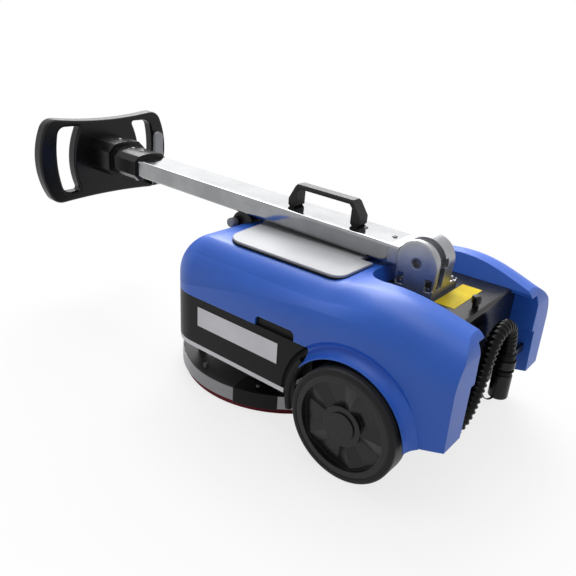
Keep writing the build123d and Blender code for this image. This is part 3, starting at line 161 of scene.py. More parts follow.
# a material: the shader's sockets are named in plain words
class Finish(NodeTree):
    sockets = {
        "colour": "Base Color", "roughness": "Roughness", "metallic": "Metallic",
        "normal": "Normal", "specular": "Specular IOR Level", "sheen": "Sheen Weight",
    }

    def __init__(self, name):
        self.material = bpy.data.materials.new(name)
        self.material.use_nodes = True
        self.tree = self.material.node_tree
        self.shader = self.tree.nodes["Principled BSDF"]

    def set(self, **values):
        for key, value in values.items():
            self.feed(self.shader.inputs[self.sockets[key]], value)

    def place(self, stretch=None):
        spot = self.node("ShaderNodeTexCoord", output="Object")
        if stretch:
            spot = self.node("ShaderNodeMapping", {}, {"Vector": spot, "Scale": stretch})
        return spot

    def blend(self, factor, first, second):
        sockets = {0: factor, 6: first, 7: second}
        return self.node("ShaderNodeMix", {"data_type": "RGBA"}, sockets, 2)

    def bump(self, height, strength, depth, normal):
        sockets = {"Height": height, "Strength": strength, "Distance": depth, "Normal": normal}
        return self.node("ShaderNodeBump", {}, sockets)

    def facing(self):  # normal of the mesh as it is
        return self.node("ShaderNodeNewGeometry", output="Normal")

    def rounded(self, radius):  # normal of edges as if they were rounded
        return self.node("ShaderNodeBevel", {"samples": edgeSet["samples"]}, {"Radius": radius})

    def edges(self, rounded):  # 0 on flats, 1 along edges
        sockets = {0: rounded, 1: self.facing()}
        along = self.node("ShaderNodeVectorMath", {"operation": "DOT_PRODUCT"}, sockets, "Value")
        return self.band(1 - along, *edgeSet["band"])


# moulded plastics and rubbers: fine grain, cloudy gloss and paler edges
mouldedLooks = {
    "shell_blue": {
        "colour": (0.016, 0.122, 0.640), "dark": (0.013, 0.104, 0.580),
        "light": (0.100, 0.300, 0.860), "grain": 1500.0, "speckle": 0.28, "relief": 0.20,
        "roughness": 0.42, "specular": 0.54, "edge": 0.0022, "wear": 0.30, "crease": 1.0,
    },
    "housing_black": {
        "colour": (0.007, 0.007, 0.008), "dark": (0.005, 0.005, 0.005),
        "light": (0.030, 0.030, 0.032), "grain": 1300.0, "speckle": 0.16, "relief": 0.16,
        "roughness": 0.38, "specular": 0.14, "edge": 0.0016, "wear": 0.30,
    },
    "plastic_black": {
        "colour": (0.005, 0.005, 0.006), "dark": (0.003, 0.003, 0.003),
        "light": (0.026, 0.026, 0.028), "grain": 1100.0, "speckle": 0.16, "relief": 0.12,
        "roughness": 0.25, "specular": 0.25, "edge": 0.0018, "wear": 0.35,
    },
    "plastic_grey": {
        "colour": (0.340, 0.342, 0.352), "dark": (0.290, 0.292, 0.300),
        "light": (0.460, 0.462, 0.470), "grain": 1200.0, "speckle": 0.18, "relief": 0.18,
        "roughness": 0.38, "specular": 0.25, "edge": 0.0014, "wear": 0.35,
    },
    # lid: dark plastic given a pale grey colour, a painted sheen of its lit top
    "lid_grey": {
        "colour": (0.450, 0.455, 0.475), "dark": (0.390, 0.395, 0.413),
        "light": (0.640, 0.645, 0.665), "grain": 800.0, "speckle": 0.35, "relief": 0.22,
        "roughness": 0.50, "specular": 0.50, "edge": 0.0015, "wear": 0.10,
    },
    "tyre_grey": {
        "colour": (0.022, 0.022, 0.023), "dark": (0.016, 0.016, 0.017),
        "light": (0.050, 0.049, 0.049), "grain": 700.0, "speckle": 0.20, "relief": 0.20,
        "roughness": 0.40, "specular": 0.14, "edge": 0.0030, "wear": 0.20,
    },
    "wheel_black": {
        "colour": (0.014, 0.014, 0.015), "dark": (0.010, 0.010, 0.011),
        "light": (0.055, 0.055, 0.057), "grain": 900.0, "speckle": 0.15, "relief": 0.14,
        "roughness": 0.24, "specular": 0.30, "edge": 0.0016, "wear": 0.30,
    },
    "rubber_black": {
        "colour": (0.006, 0.006, 0.006), "dark": (0.004, 0.004, 0.004),
        "light": (0.026, 0.026, 0.026), "grain": 900.0, "speckle": 0.18, "relief": 0.22,
        "roughness": 0.46, "specular": 0.12, "edge": 0.0008, "wear": 0.20,
    },
    "hose_black": {
        "colour": (0.004, 0.004, 0.0045), "dark": (0.003, 0.003, 0.003),
        "light": (0.022, 0.022, 0.024), "grain": 1600.0, "speckle": 0.12, "relief": 0.08,
        "roughness": 0.20, "specular": 0.12, "edge": 0.0005, "wear": 0.15,
    },
    "deck_grey": {
        "colour": (0.046, 0.046, 0.048), "dark": (0.034, 0.034, 0.036),
        "light": (0.110, 0.110, 0.114), "grain": 600.0, "speckle": 0.20, "relief": 0.16,
        "roughness": 0.42, "specular": 0.18, "edge": 0.0012, "wear": 0.35,
    },
    "motor_grey": {
        "colour": (0.014, 0.014, 0.015), "dark": (0.009, 0.009, 0.010),
        "light": (0.060, 0.060, 0.063), "grain": 600.0, "speckle": 0.20, "relief": 0.18,
        "roughness": 0.40, "specular": 0.16, "edge": 0.0012, "wear": 0.35,
    },
}
# what all of them share; a noise is given as scale, detail and roughness
mouldedSet = {
    "grainNoise": (2.0, 0.6), "grainBand": (0.45, 0.75), "grainDepth": 0.0003,
    "cloudNoise": (11.0, 4.0, 0.6), "cloudBand": (0.3, 0.7), "cloudGloss": 0.16,
    "scuffNoise": (4.0, 5.0, 0.7), "scuffBand": (0.58, 0.8), "scuffGloss": 0.10,
    "scuffStretch": (60, 9, 60),
}


# crease along the shell's sides, where the roll of the top starts
creaseSet = {
    "rise": (0.2300, -0.1932, -0.2364),  # its height as a curve of the second degree in y
    "slope": 0.50, "fade": 0.030, "sideBand": (0.150, 0.190), "rearBand": (-0.33, -0.25),
}


def creaseHeight(finish, spot):
    across, along, up = (finish.axis(spot, index) for index in range(3))
    base, first, second = creaseSet["rise"]
    line = base + along * first + along * along * second
    above = finish.band(up - line, 0.0, creaseSet["fade"])
    dip = (above - above * above * 0.5) * creaseSet["slope"] * creaseSet["fade"]
    side = finish.band(finish.maths("ABSOLUTE", across), *creaseSet["sideBand"])
    front = finish.band(along, *creaseSet["rearBand"], kind="SMOOTHSTEP")
    return dip * side * front * -1.0


def mouldedFinish(name, look):
    finish = Finish(name)
    spot = finish.place()
    grain = finish.noise(spot, look["grain"], *mouldedSet["grainNoise"])
    cloud = finish.noise(spot, *mouldedSet["cloudNoise"])
    scuff = finish.noise(finish.place(mouldedSet["scuffStretch"]), *mouldedSet["scuffNoise"])
    rounded = finish.rounded(look["edge"])
    specks = finish.band(grain, *mouldedSet["grainBand"]) * look["speckle"]
    clouded = finish.band(cloud, *mouldedSet["cloudBand"])
    colour = finish.blend(clouded, look["dark"], look["colour"])
    colour = finish.blend(specks, colour, look["light"])
    colour = finish.blend(finish.edges(rounded) * look["wear"], colour, look["light"])
    roughness = look["roughness"] + (cloud - 0.5) * mouldedSet["cloudGloss"]
    roughness += finish.band(scuff, *mouldedSet["scuffBand"]) * mouldedSet["scuffGloss"]
    if "crease" in look:
        rounded = finish.bump(creaseHeight(finish, spot), look["crease"], 1.0, rounded)
    normal = finish.bump(grain, look["relief"], mouldedSet["grainDepth"], rounded)
    finish.set(colour=colour, roughness=roughness, normal=normal, specular=look["specular"])
    return finish.material


# drawn and brushed metals: fine lines along one way
drawnLooks = {
    "mast_aluminium": {
        "colour": (0.34, 0.345, 0.355), "dull": (0.23, 0.234, 0.243), "stretch": (900, 5, 900),
        "roughness": 0.10, "relief": 0.03, "edge": 0.0008,
    },
    "plate_aluminium": {
        "colour": (0.50, 0.50, 0.52), "dull": (0.38, 0.38, 0.40), "stretch": (700, 9, 900),
        "roughness": 0.36, "relief": 0.12, "edge": 0.0008,
    },
    "steel_dark": {
        "colour": (0.22, 0.22, 0.23), "dull": (0.12, 0.12, 0.13), "stretch": (400, 400, 400),
        "roughness": 0.32, "relief": 0.10, "edge": 0.0006,
    },
    "band_grey": {
        "colour": (0.26, 0.26, 0.27), "dull": (0.17, 0.17, 0.18), "stretch": (160, 160, 900),
        "roughness": 0.34, "relief": 0.12, "edge": 0.0010,
    },
    "steel": {
        "colour": (0.58, 0.58, 0.60), "dull": (0.40, 0.40, 0.41), "stretch": (300, 300, 300),
        "roughness": 0.30, "relief": 0.10, "edge": 0.0006,
    },
}
drawnSet = {
    "lineNoise": (1.0, 4.0, 0.65), "lineBand": (0.3, 0.7), "lineShare": 0.55, "lineDepth": 0.0002,
    "cloudNoise": (14.0, 3.0, 0.6), "cloudBand": (0.35, 0.7), "cloudShare": 0.45, "leastGloss": 0.5,
}


def drawnFinish(name, look):
    finish = Finish(name)
    lineShare, cloudShare = drawnSet["lineShare"], drawnSet["cloudShare"]
    lines = finish.noise(finish.place(look["stretch"]), *drawnSet["lineNoise"])
    cloud = finish.noise(finish.place(), *drawnSet["cloudNoise"])
    rounded = finish.rounded(look["edge"])
    tone = finish.band(lines, *drawnSet["lineBand"]) * lineShare
    tone += finish.band(cloud, *drawnSet["cloudBand"]) * cloudShare
    colour = finish.blend(tone, look["dull"], look["colour"])
    gloss = lines * lineShare + cloud * cloudShare + drawnSet["leastGloss"]
    normal = finish.bump(lines, look["relief"], drawnSet["lineDepth"], rounded)
    finish.set(colour=colour, roughness=gloss * look["roughness"], metallic=1.0, normal=normal)
    return finish.material


# cast metal: a pitted skin, bright along its edges
castLook = {
    "colour": (0.40, 0.405, 0.42), "dull": (0.30, 0.305, 0.32), "bright": (0.66, 0.665, 0.68),
    "roughness": 0.36, "metallic": 0.90, "relief": 0.30, "depth": 0.0003,
    "edge": 0.0012, "wear": 0.45, "skinNoise": (420.0, 4.0, 0.6), "skinGloss": 0.2,
    "cloudNoise": (22.0, 3.0, 0.6), "cloudBand": (0.3, 0.7), "cloudGloss": 0.1,
    "pitScale": 260.0, "pitBand": (0.0, 0.35), "pitShare": 0.5,
}


def castFinish(name, look):
    finish = Finish(name)
    spot = finish.place()
    skin = finish.noise(spot, *look["skinNoise"])
    pits = finish.node("ShaderNodeTexVoronoi", {}, {"Vector": spot, "Scale": look["pitScale"]})
    cloud = finish.noise(spot, *look["cloudNoise"])
    rounded = finish.rounded(look["edge"])
    colour = finish.blend(finish.band(cloud, *look["cloudBand"]), look["dull"], look["colour"])
    colour = finish.blend(finish.edges(rounded) * look["wear"], colour, look["bright"])
    height = skin + finish.band(pits, *look["pitBand"]) * look["pitShare"]
    normal = finish.bump(height, look["relief"], look["depth"], rounded)
    roughness = look["roughness"] + (skin - 0.5) * look["skinGloss"]
    roughness += (cloud - 0.5) * look["cloudGloss"]
    finish.set(colour=colour, roughness=roughness, metallic=look["metallic"], normal=normal)
    return finish.material


# bare coloured film, rubbed along one way
filmLook = {
    "colour": (0.78, 0.62, 0.030), "dull": (0.62, 0.45, 0.020), "rubbed": (0.86, 0.74, 0.14),
    "roughness": 0.45, "specular": 0.06, "relief": 0.08, "depth": 0.0004, "edge": 0.0005,
    "cloudNoise": (26.0, 3.0, 0.6), "cloudBand": (0.3, 0.7), "rubStretch": (40, 220, 40),
    "rubNoise": (1.0, 5.0, 0.7), "rubBand": (0.55, 0.8), "rubShare": 0.5, "rubGloss": 0.25,
}


def filmFinish(name, look):
    finish = Finish(name)
    cloud = finish.noise(finish.place(), *look["cloudNoise"])
    rub = finish.noise(finish.place(look["rubStretch"]), *look["rubNoise"])
    rounded = finish.rounded(look["edge"])
    colour = finish.blend(finish.band(cloud, *look["cloudBand"]), look["dull"], look["colour"])
    rubbed = finish.band(rub, *look["rubBand"]) * look["rubShare"]
    colour = finish.blend(rubbed, colour, look["rubbed"])
    normal = finish.bump(cloud, look["relief"], look["depth"], rounded)
    roughness = look["roughness"] + (rub - 0.5) * look["rubGloss"]
    finish.set(colour=colour, roughness=roughness, normal=normal, specular=look["specular"])
    return finish.material


# non-woven scrubbing pad
fibreLook = {
    "colour": (0.330, 0.022, 0.040), "dark": (0.150, 0.009, 0.017), "light": (0.480, 0.075, 0.085),
    "roughness": 0.92, "specular": 0.2, "sheen": 0.25, "relief": 0.7, "depth": 0.0008,
    "strandStretch": (1, 1, 2.5), "strandNoise": (900.0, 4.0, 0.75), "strandBand": (0.35, 0.65),
    "cloudNoise": (60.0, 3.0, 0.6), "cloudBand": (0.5, 0.8), "cloudShare": 0.5,
}


def fibreFinish(name, look):
    finish = Finish(name)
    strands = finish.noise(finish.place(look["strandStretch"]), *look["strandNoise"])
    cloud = finish.noise(finish.place(), *look["cloudNoise"])
    colour = finish.blend(finish.band(strands, *look["strandBand"]), look["dark"], look["colour"])
    clouded = finish.band(cloud, *look["cloudBand"]) * look["cloudShare"]
    colour = finish.blend(clouded, colour, look["light"])
    normal = finish.bump(strands, look["relief"], look["depth"], finish.facing())
    finish.set(
        colour=colour, roughness=look["roughness"], normal=normal,
        specular=look["specular"], sheen=look["sheen"],
    )
    return finish.material


def allFinishes():
    made = {slot: mouldedFinish(slot, look) for slot, look in mouldedLooks.items()}
    made.update({slot: drawnFinish(slot, look) for slot, look in drawnLooks.items()})
    made["cast_grey"] = castFinish("cast_grey", castLook)
    made["label_yellow"] = filmFinish("label_yellow", filmLook)
    made["pad_red"] = fibreFinish("pad_red", fibreLook)
    return made


finishes = allFinishes()
# nodes with a finish other than their slot's
ownFinish = {
    "rim_left": "wheel_black", "rim_right": "wheel_black",
    "hub_cap_left": "wheel_black", "hub_cap_right": "wheel_black",
    "deck_band": "band_grey", "deck_plate": "deck_grey", "pivot_bolt": "steel_dark",
}
for name, node in nodes.items():
    node.data.materials.clear()
    node.data.materials.append(finishes[ownFinish.get(name, slotOf[name])])
print("finishes:", len(finishes))


# shape trees: the same node maths, for meshes and curves
class Shape(NodeTree):
    def __init__(self, name):
        self.tree = bpy.data.node_groups.new(name, "GeometryNodeTree")
        for way in ("INPUT", "OUTPUT"):
            self.tree.interface.new_socket("Geometry", in_out=way, socket_type="NodeSocketGeometry")
        self.start = self.tree.nodes.new("NodeGroupInput")
        self.end = self.tree.nodes.new("NodeGroupOutput")
        self.keys = {}

    def given(self):
        return Sock(self, self.start.outputs["Geometry"])

    def entry(self, name, kind):
        made = self.tree.interface.new_socket(name, in_out="INPUT", socket_type="NodeSocket" + kind)
        self.keys[name] = made.identifier
        return Sock(self, self.start.outputs[name])

    def attribute(self, name, kind):
        return self.node("GeometryNodeInputNamedAttribute", {"data_type": kind}, {"Name": name})

    def copies(self, points, source, rotation):  # an object at every point
        sockets = {"Object": source, "As Instance": True}
        part = self.node("GeometryNodeObjectInfo", {}, sockets, "Geometry")
        sockets = {"Points": points, "Instance": part, "Rotation": rotation}
        return self.node("GeometryNodeInstanceOnPoints", {}, sockets)

    def pushed(self, geometry, amount):  # moved along its normals
        sockets = {0: self.node("GeometryNodeInputNormal"), "Scale": amount}
        offset = self.node("ShaderNodeVectorMath", {"operation": "SCALE"}, sockets)
        return self.node("GeometryNodeSetPosition", {}, {"Geometry": geometry, "Offset": offset})

    def resampled(self, curve, count):
        sockets = {"Curve": curve, "Count": count}
        return self.node("GeometryNodeResampleCurve", {"mode": "COUNT"}, sockets)

    def swept(self, line, profile):
        sockets = {"Curve": line, "Profile Curve": profile, "Fill Caps": True}
        return self.node("GeometryNodeCurveToMesh", {}, sockets)

    def smooth(self, geometry):
        return self.node("GeometryNodeSetShadeSmooth", {}, {"Geometry": geometry})

    def joined(self, *parts):
        made = self.tree.nodes.new("GeometryNodeJoinGeometry")
        for part in parts:
            self.tree.links.new(part.link, made.inputs[0])
        return Sock(self, made.outputs[0])

    def close(self, geometry, finish):
        whole = self.node("GeometryNodeRealizeInstances", {}, {"Geometry": geometry})
        whole = self.node("GeometryNodeSetMaterial", {}, {"Geometry": whole, "Material": finish})
        self.feed(self.end.inputs["Geometry"], whole)


meshSet = {"sharpAngle": 38, "lineSteps": 16, "lineOrder": 3, "fullTurn": 6.283}


def inMetres(places):  # from millimetres
    return [[value / 1000 for value in place] for place in places]


def addObject(name, data):
    made = bpy.data.objects.new(name, data)
    bpy.context.scene.collection.objects.link(made)
    return made


def plainMesh(source):  # evaluated mesh of an object, as it stands
    graph = bpy.context.evaluated_depsgraph_get()
    return bpy.data.meshes.new_from_object(source.evaluated_get(graph))


def grown(shape, source, name, **values):  # runs a tree on an object and keeps the plain mesh
    modifier = source.modifiers.new("shape", "NODES")
    modifier.node_group = shape.tree
    for key, value in values.items():
        modifier[shape.keys[key]] = value
    piece = addObject(name, plainMesh(source))
    source.modifiers.remove(modifier)
    bpy.data.objects.remove(source)
    return piece


def closedMesh(name, form):  # a bmesh as a mesh, its faces turned outwards
    bmesh.ops.recalc_face_normals(form, faces=form.faces)
    mesh = bpy.data.meshes.new(name)
    form.to_mesh(mesh)
    form.free()
    return mesh


def turnedForm(profile, sides):
    # profile rows: radius, height and how far the ring is pulled to a hexagon, top to bottom
    form = bmesh.new()
    rings = []
    for radius, height, hexed in profile:
        if radius == 0:
            rings.append([form.verts.new((0, 0, height))])
            continue
        ring = []
        for step in range(sides):
            angle = 2 * math.pi * step / sides
            inward = math.cos(math.pi / 6) / math.cos(angle % (math.pi / 3) - math.pi / 6)
            reach = radius * (1 + hexed * (inward - 1))
            ring.append(form.verts.new((reach * math.cos(angle), reach * math.sin(angle), height)))
        rings.append(ring)
    for upper, lower in zip(rings, rings[1:]):
        for step in range(sides):
            after = (step + 1) % sides
            if len(upper) == 1:
                form.faces.new((upper[0], lower[step], lower[after]))
            elif len(lower) == 1:
                form.faces.new((upper[step], lower[0], upper[after]))
            else:
                form.faces.new((upper[step], lower[step], lower[after], upper[after]))
    return form


def shaded(mesh):
    mesh.shade_smooth()
    mesh.set_sharp_from_angle(angle=math.radians(meshSet["sharpAngle"]))
    return mesh


def lineObject(name, points, closed=False):
    data = bpy.data.curves.new(name, "CURVE")
    data.dimensions = "3D"
    data.resolution_u = meshSet["lineSteps"]
    spline = data.splines.new("NURBS")
    spline.points.add(len(points) - 1)
    for point, place in zip(spline.points, points):
        point.co = (*place, 1)
    spline.order_u = meshSet["lineOrder"]
    spline.use_endpoint_u = not closed
    spline.use_cyclic_u = closed
    return addObject(name, data)


# fasteners: one head per point, along the point's facing, turned at random
mastLean = math.radians(1.41)
upright = (0, 0, 1)
fastenerSides = 24
fastenerSet = {
    "mastScrews": {
        "body": "mast", "nodes": ["mast_screws"], "seed": 3,
        "profile": [(0, 0.9, 0), (2.0, 0.9, 1), (2.1, 2.5, 1), (2.7, 2.6, 0), (3.6, 2.3, 0),
                    (4.5, 1.5, 0), (5.0, 0.4, 0), (5.0, -0.2, 0), (0, -0.2, 0)],
        "places": [(0, 564.7, 390.98), (0, 514.0, 377.7), (0, 479.0, 376.85), (0, -173.5, 348.3),
                   (0, -236.4, 346.8)],
        "facing": (0.0, -math.sin(mastLean), math.cos(mastLean)),
    },
    "deckScrews": {
        "body": "body", "nodes": ["deck_screws"], "seed": 5,
        "profile": [(0, 7.0, 0), (3.7, 7.0, 0), (4.7, 6.5, 1), (4.8, 6.2, 1), (4.8, 1.6, 1),
                    (4.95, 1.2, 0), (4.95, 0.0, 0), (0, 0.0, 0)],
        "places": [(111.85, -165.8, 42.2), (195.6, 41.55, 42.2), (87.7, 179.8, 42.2),
                   (-87.7, 179.8, 42.2), (-195.6, 41.55, 42.2), (-111.85, -165.8, 42.2)],
        "facing": upright,
    },
    "bracketBolts": {
        "body": "body", "nodes": ["bracket_bolts"], "seed": 7,
        "profile": [(0, 3.6, 0), (2.7, 3.6, 1), (2.8, 6.7, 1), (3.3, 7.0, 0), (5.2, 7.0, 0),
                    (5.8, 6.7, 0), (6.0, 6.1, 0), (6.0, 0.0, 0), (0, 0.0, 0)],
        "places": [(39, -335.5, 284.5), (39, -281.5, 284.5), (-39, -335.5, 284.5),
                   (-39, -281.5, 284.5)],
        "facing": upright,
    },
    "skirtScrews": {
        "body": "body", "nodes": [], "seed": 9,
        "profile": [(0, 0.8, 0), (1.8, 0.8, 1), (1.9, 2.1, 1), (2.4, 2.2, 0), (3.4, 1.9, 0),
                    (4.2, 1.1, 0), (4.5, 0.2, 0), (4.5, -0.3, 0), (0, -0.3, 0)],
        "places": [(-179.0, -86.0, 46.2), (179.0, -86.0, 46.2)],
        "facing": upright,
    },
}


def fastenerTree():
    shape = Shape("fasteners")
    head = shape.entry("Head", "Object")
    seed = shape.entry("Seed", "Int")
    finish = shape.entry("Finish", "Material")
    facing = shape.attribute("facing", "FLOAT_VECTOR")
    aligned = shape.node("FunctionNodeAlignRotationToVector", {"axis": "Z"}, {"Vector": facing})
    limits = {2: 0.0, 3: meshSet["fullTurn"], "Seed": seed}
    spin = shape.node("FunctionNodeRandomValue", {"data_type": "FLOAT"}, limits, 1)
    own = shape.node("FunctionNodeAxisAngleToRotation", {}, {"Axis": upright, "Angle": spin})
    both = {"Rotation": aligned, "Rotate By": own}
    turned = shape.node("FunctionNodeRotateRotation", {"rotation_space": "LOCAL"}, both)
    shape.close(shape.copies(shape.given(), head, turned), finish)
    return shape


def addFasteners():
    shape = fastenerTree()
    for name, part in fastenerSet.items():
        rows = [(reach / 1000, height / 1000, hexed) for reach, height, hexed in part["profile"]]
        form = turnedForm(rows, fastenerSides)
        template = addObject(name + "Head", shaded(closedMesh(name + "Head", form)))
        points = bpy.data.meshes.new(name)
        points.from_pydata(inMetres(part["places"]), [], [])
        facing = points.attributes.new("facing", "FLOAT_VECTOR", "POINT")
        for item in facing.data:
            item.vector = part["facing"]
        piece = grown(
            shape, addObject(name + "Points", points), name,
            Head=template, Seed=part["seed"], Finish=finishes["steel_dark"],
        )
        bpy.data.objects.remove(template)
        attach(piece, part["body"])
        if part["nodes"]:
            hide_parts(*part["nodes"])


addFasteners()
print("fasteners set")


# drain hose: ribs raised along a smooth line
hoseSet = {
    "route": [(-118, -338, 58), (-118, -386, 58), (-114, -430, 68), (-92, -453, 104),
              (-62, -456, 148), (-42, -455, 196), (-14, -453, 236), (30, -453, 243),
              (56, -456, 216), (56, -456, 172)],
    "rootRadius": 0.0107, "ribHeight": 0.0023, "ribs": 44, "stepsPerRib": 10, "sides": 28,
    "ribRise": (0.02, 0.30), "ribFall": (0.58, 0.86),  # shares of a rib's pitch
    "stiffness": "stiff", "lay": "hanging",
}


def ribbedTubeTree():
    shape = Shape("ribbedTube")
    root = shape.entry("Root", "Float")
    rise = shape.entry("Rise", "Float")
    pitch = shape.entry("Pitch", "Float")
    steps = shape.entry("Steps", "Int")
    sides = shape.entry("Sides", "Int")
    finish = shape.entry("Finish", "Material")
    line = shape.resampled(shape.given(), steps)
    length = shape.node("GeometryNodeSplineParameter", output="Length")
    line = shape.node(
        "GeometryNodeStoreNamedAttribute", {"data_type": "FLOAT", "domain": "POINT"},
        {"Geometry": line, "Name": "along", "Value": length},
    )
    ring = shape.node("GeometryNodeCurvePrimitiveCircle", {}, {"Resolution": sides, "Radius": root})
    turn = shape.attribute("along", "FLOAT") / pitch % 1.0
    rib = shape.band(turn, *hoseSet["ribRise"], kind="SMOOTHSTEP")
    rib *= shape.band(turn, *hoseSet["ribFall"], 1.0, 0.0, "SMOOTHSTEP")
    tube = shape.pushed(shape.swept(line, ring), rib * rise)
    shape.close(shape.smooth(tube), finish)
    return shape


def addHose():
    points = inMetres(hoseSet["route"])
    line = lineObject("hoseLine", points)
    path = [vertex.co.copy() for vertex in plainMesh(line).vertices]
    length = sum((after - before).length for before, after in zip(path, path[1:]))
    piece = grown(
        ribbedTubeTree(), line, "drainHose",
        Root=hoseSet["rootRadius"], Rise=hoseSet["ribHeight"], Pitch=length / hoseSet["ribs"],
        Steps=hoseSet["ribs"] * hoseSet["stepsPerRib"], Sides=hoseSet["sides"],
        Finish=finishes["hose_black"],
    )
    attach(piece, "body")
    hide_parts("drain_hose")
    return length


print("hose:", round(addHose(), 3), "m")


# scrubbing pad: a felted disc with loose strands at its rim
padSet = {
    "radius": 0.2138, "hole": 0.040, "thickness": 0.0128, "sides": 260, "seed": 11,
    "shares": (0.2, 0.4, 0.6, 0.8, 0.95),  # rings between hole and rim
    "holeFoot": 0.002, "holeBreak": 0.001,
    "topBreak": (0.0012, 0.0003), "topEdge": 0.0016, "rimRows": 4, "rimStep": 0.0018,
    "footEdge": 0.0018, "footBreak": 0.0014, "weld": 0.00002,
    "ragged": 0.0012, "raggedNoise": (160.0, 3.0, 0.7), "raggedMiddle": 0.6,
    "freeBand": (0.0004, 0.0030),  # heights over which the felt comes free of the floor
}
strandSet = {
    "count": 900, "length": 0.006, "steps": 3, "bow": 0.9, "width": 0.00022, "taper": (1.1, 1.4),
    "corners": (0, 2.0944, 4.1888),
    "leastHeight": 0.0048, "leastReach": 0.1, "mostTilt": 0.6,  # they grow on the outer rim
    "bareFoot": 0.004,  # height of the rim without strands
}


def feltTree():
    shape = Shape("felt")
    ragged = shape.entry("Ragged", "Float")
    density = shape.entry("Density", "Float")
    strand = shape.entry("Strand", "Object")
    seed = shape.entry("Seed", "Int")
    finish = shape.entry("Finish", "Material")
    spot = shape.node("GeometryNodeInputPosition")
    rough = shape.noise(spot, *padSet["raggedNoise"])
    height = shape.axis(spot, 2)
    free = shape.band(height, *padSet["freeBand"])
    felt = shape.pushed(shape.given(), (rough - padSet["raggedMiddle"]) * ragged * free)
    tilt = shape.maths("ABSOLUTE", shape.axis(shape.node("GeometryNodeInputNormal"), 2))
    rim = shape.maths("LESS_THAN", tilt, strandSet["mostTilt"])
    above = shape.maths("GREATER_THAN", height, strandSet["leastHeight"])
    outer = shape.maths("GREATER_THAN", shape.reach(spot), strandSet["leastReach"])
    points = shape.node(
        "GeometryNodeDistributePointsOnFaces", {},
        {"Mesh": felt, "Selection": rim * above * outer, "Density": density, "Seed": seed},
    )
    limits = {0: (0, 0, 0), 1: (meshSet["fullTurn"],) * 3, "Seed": seed}
    turn = shape.node("FunctionNodeRandomValue", {"data_type": "FLOAT_VECTOR"}, limits)
    shape.close(shape.joined(felt, shape.copies(points, strand, turn)), finish)
    return shape


def strandMesh():  # a short bent fibre, three-sided
    length, steps = strandSet["length"], strandSet["steps"]
    thickest, taper = strandSet["taper"]
    form = bmesh.new()
    rings = []
    for step in range(steps + 1):
        share = step / steps - 0.5
        middle = Vector((length * share, length * strandSet["bow"] * (0.25 - share * share), 0))
        width = strandSet["width"] * (thickest - taper * abs(share))
        rings.append([
            form.verts.new(middle + Vector((0, math.cos(angle) * width, math.sin(angle) * width)))
            for angle in strandSet["corners"]
        ])
    for before, after in zip(rings, rings[1:]):
        for side in range(3):
            other = (side + 1) % 3
            form.faces.new((before[side], before[other], after[other], after[side]))
    form.faces.new(rings[0])
    form.faces.new(rings[-1])
    return closedMesh("strand", form)


def padProfile():
    radius, hole, top = padSet["radius"], padSet["hole"], padSet["thickness"]
    edge = top - padSet["topEdge"]
    breakIn, breakDown = padSet["topBreak"]
    between = [hole + (radius - hole) * share for share in padSet["shares"]]
    inner = hole + padSet["holeBreak"]
    rows = [(hole, padSet["holeFoot"]), (hole, top - padSet["holeBreak"]), (inner, top)]
    rows += [(reach, top) for reach in between]
    rows += [(radius - breakIn, top - breakDown), (radius, edge)]
    rows += [(radius, edge - step * padSet["rimStep"]) for step in range(1, padSet["rimRows"] + 1)]
    rows += [(radius, padSet["footEdge"]), (radius - padSet["footBreak"], 0.0)]
    rows += [(reach, 0.0) for reach in reversed(between)]
    rows += [(inner, 0.0), (hole, padSet["holeFoot"])]
    return [(reach, height, 0) for reach, height in rows]


def addPad():
    form = turnedForm(padProfile(), padSet["sides"])
    bmesh.ops.remove_doubles(form, verts=form.verts, dist=padSet["weld"])
    disc = shaded(closedMesh("feltDisc", form))
    strand = addObject("strand", strandMesh())
    rim = 2 * math.pi * padSet["radius"] * (padSet["thickness"] - strandSet["bareFoot"])
    piece = grown(
        feltTree(), addObject("feltDisc", disc), "scrubPad",
        Ragged=padSet["ragged"], Density=strandSet["count"] / rim, Strand=strand,
        Seed=padSet["seed"], Finish=finishes["pad_red"],
    )
    bpy.data.objects.remove(strand)
    piece.data.shade_smooth()
    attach(piece, "disc")
    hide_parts("pad")


addPad()
print("pad felted")


# retaining strap: a flat ring on the cuff with a loop that hangs beside the cap
strapSet = {
    "width": 0.0042, "thickness": 0.0016, "steps": 72, "round": 0.4, "roundSteps": 2,
    "cuff": (56, -456), "cuffRadius": 16.2, "height": 146.0, "ringPoints": 12,
    "tether": [(47, -443, 146), (41, -440, 143), (38, -440, 134), (31, -440, 126), (14, -440, 124),
               (8, -441, 116), (14, -443, 102), (26, -446, 91), (40, -449, 86), (50, -452, 88)],
}


def strapTree():
    shape = Shape("strap")
    width = shape.entry("Width", "Float")
    thick = shape.entry("Thickness", "Float")
    finish = shape.entry("Finish", "Material")
    line = shape.resampled(shape.given(), strapSet["steps"])
    line = shape.node("GeometryNodeSetCurveNormal", {"mode": "MINIMUM_TWIST"}, {"Curve": line})
    size = {"Width": width, "Height": thick}
    band = shape.node("GeometryNodeCurvePrimitiveQuadrilateral", {}, size)
    corners = {"Curve": band, "Radius": thick * strapSet["round"], "Count": strapSet["roundSteps"]}
    band = shape.node("GeometryNodeFilletCurve", {"mode": "POLY"}, corners)
    shape.close(shape.smooth(shape.swept(line, band)), finish)
    return shape


def cuffLine():
    x, y = strapSet["cuff"]
    count = strapSet["ringPoints"]
    reach = strapSet["cuffRadius"] / math.cos(math.pi / count)
    angles = [2 * math.pi * step / count for step in range(count)]
    return [
        (x + reach * math.cos(angle), y + reach * math.sin(angle), strapSet["height"])
        for angle in angles
    ]


def addStraps():
    shape = strapTree()
    lines = (("cuffRing", cuffLine(), True), ("capTether", strapSet["tether"], False))
    for name, line, closed in lines:
        piece = grown(
            shape, lineObject(name + "Line", inMetres(line), closed), name,
            Width=strapSet["width"], Thickness=strapSet["thickness"],
            Finish=finishes["rubber_black"],
        )
        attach(piece, "body")


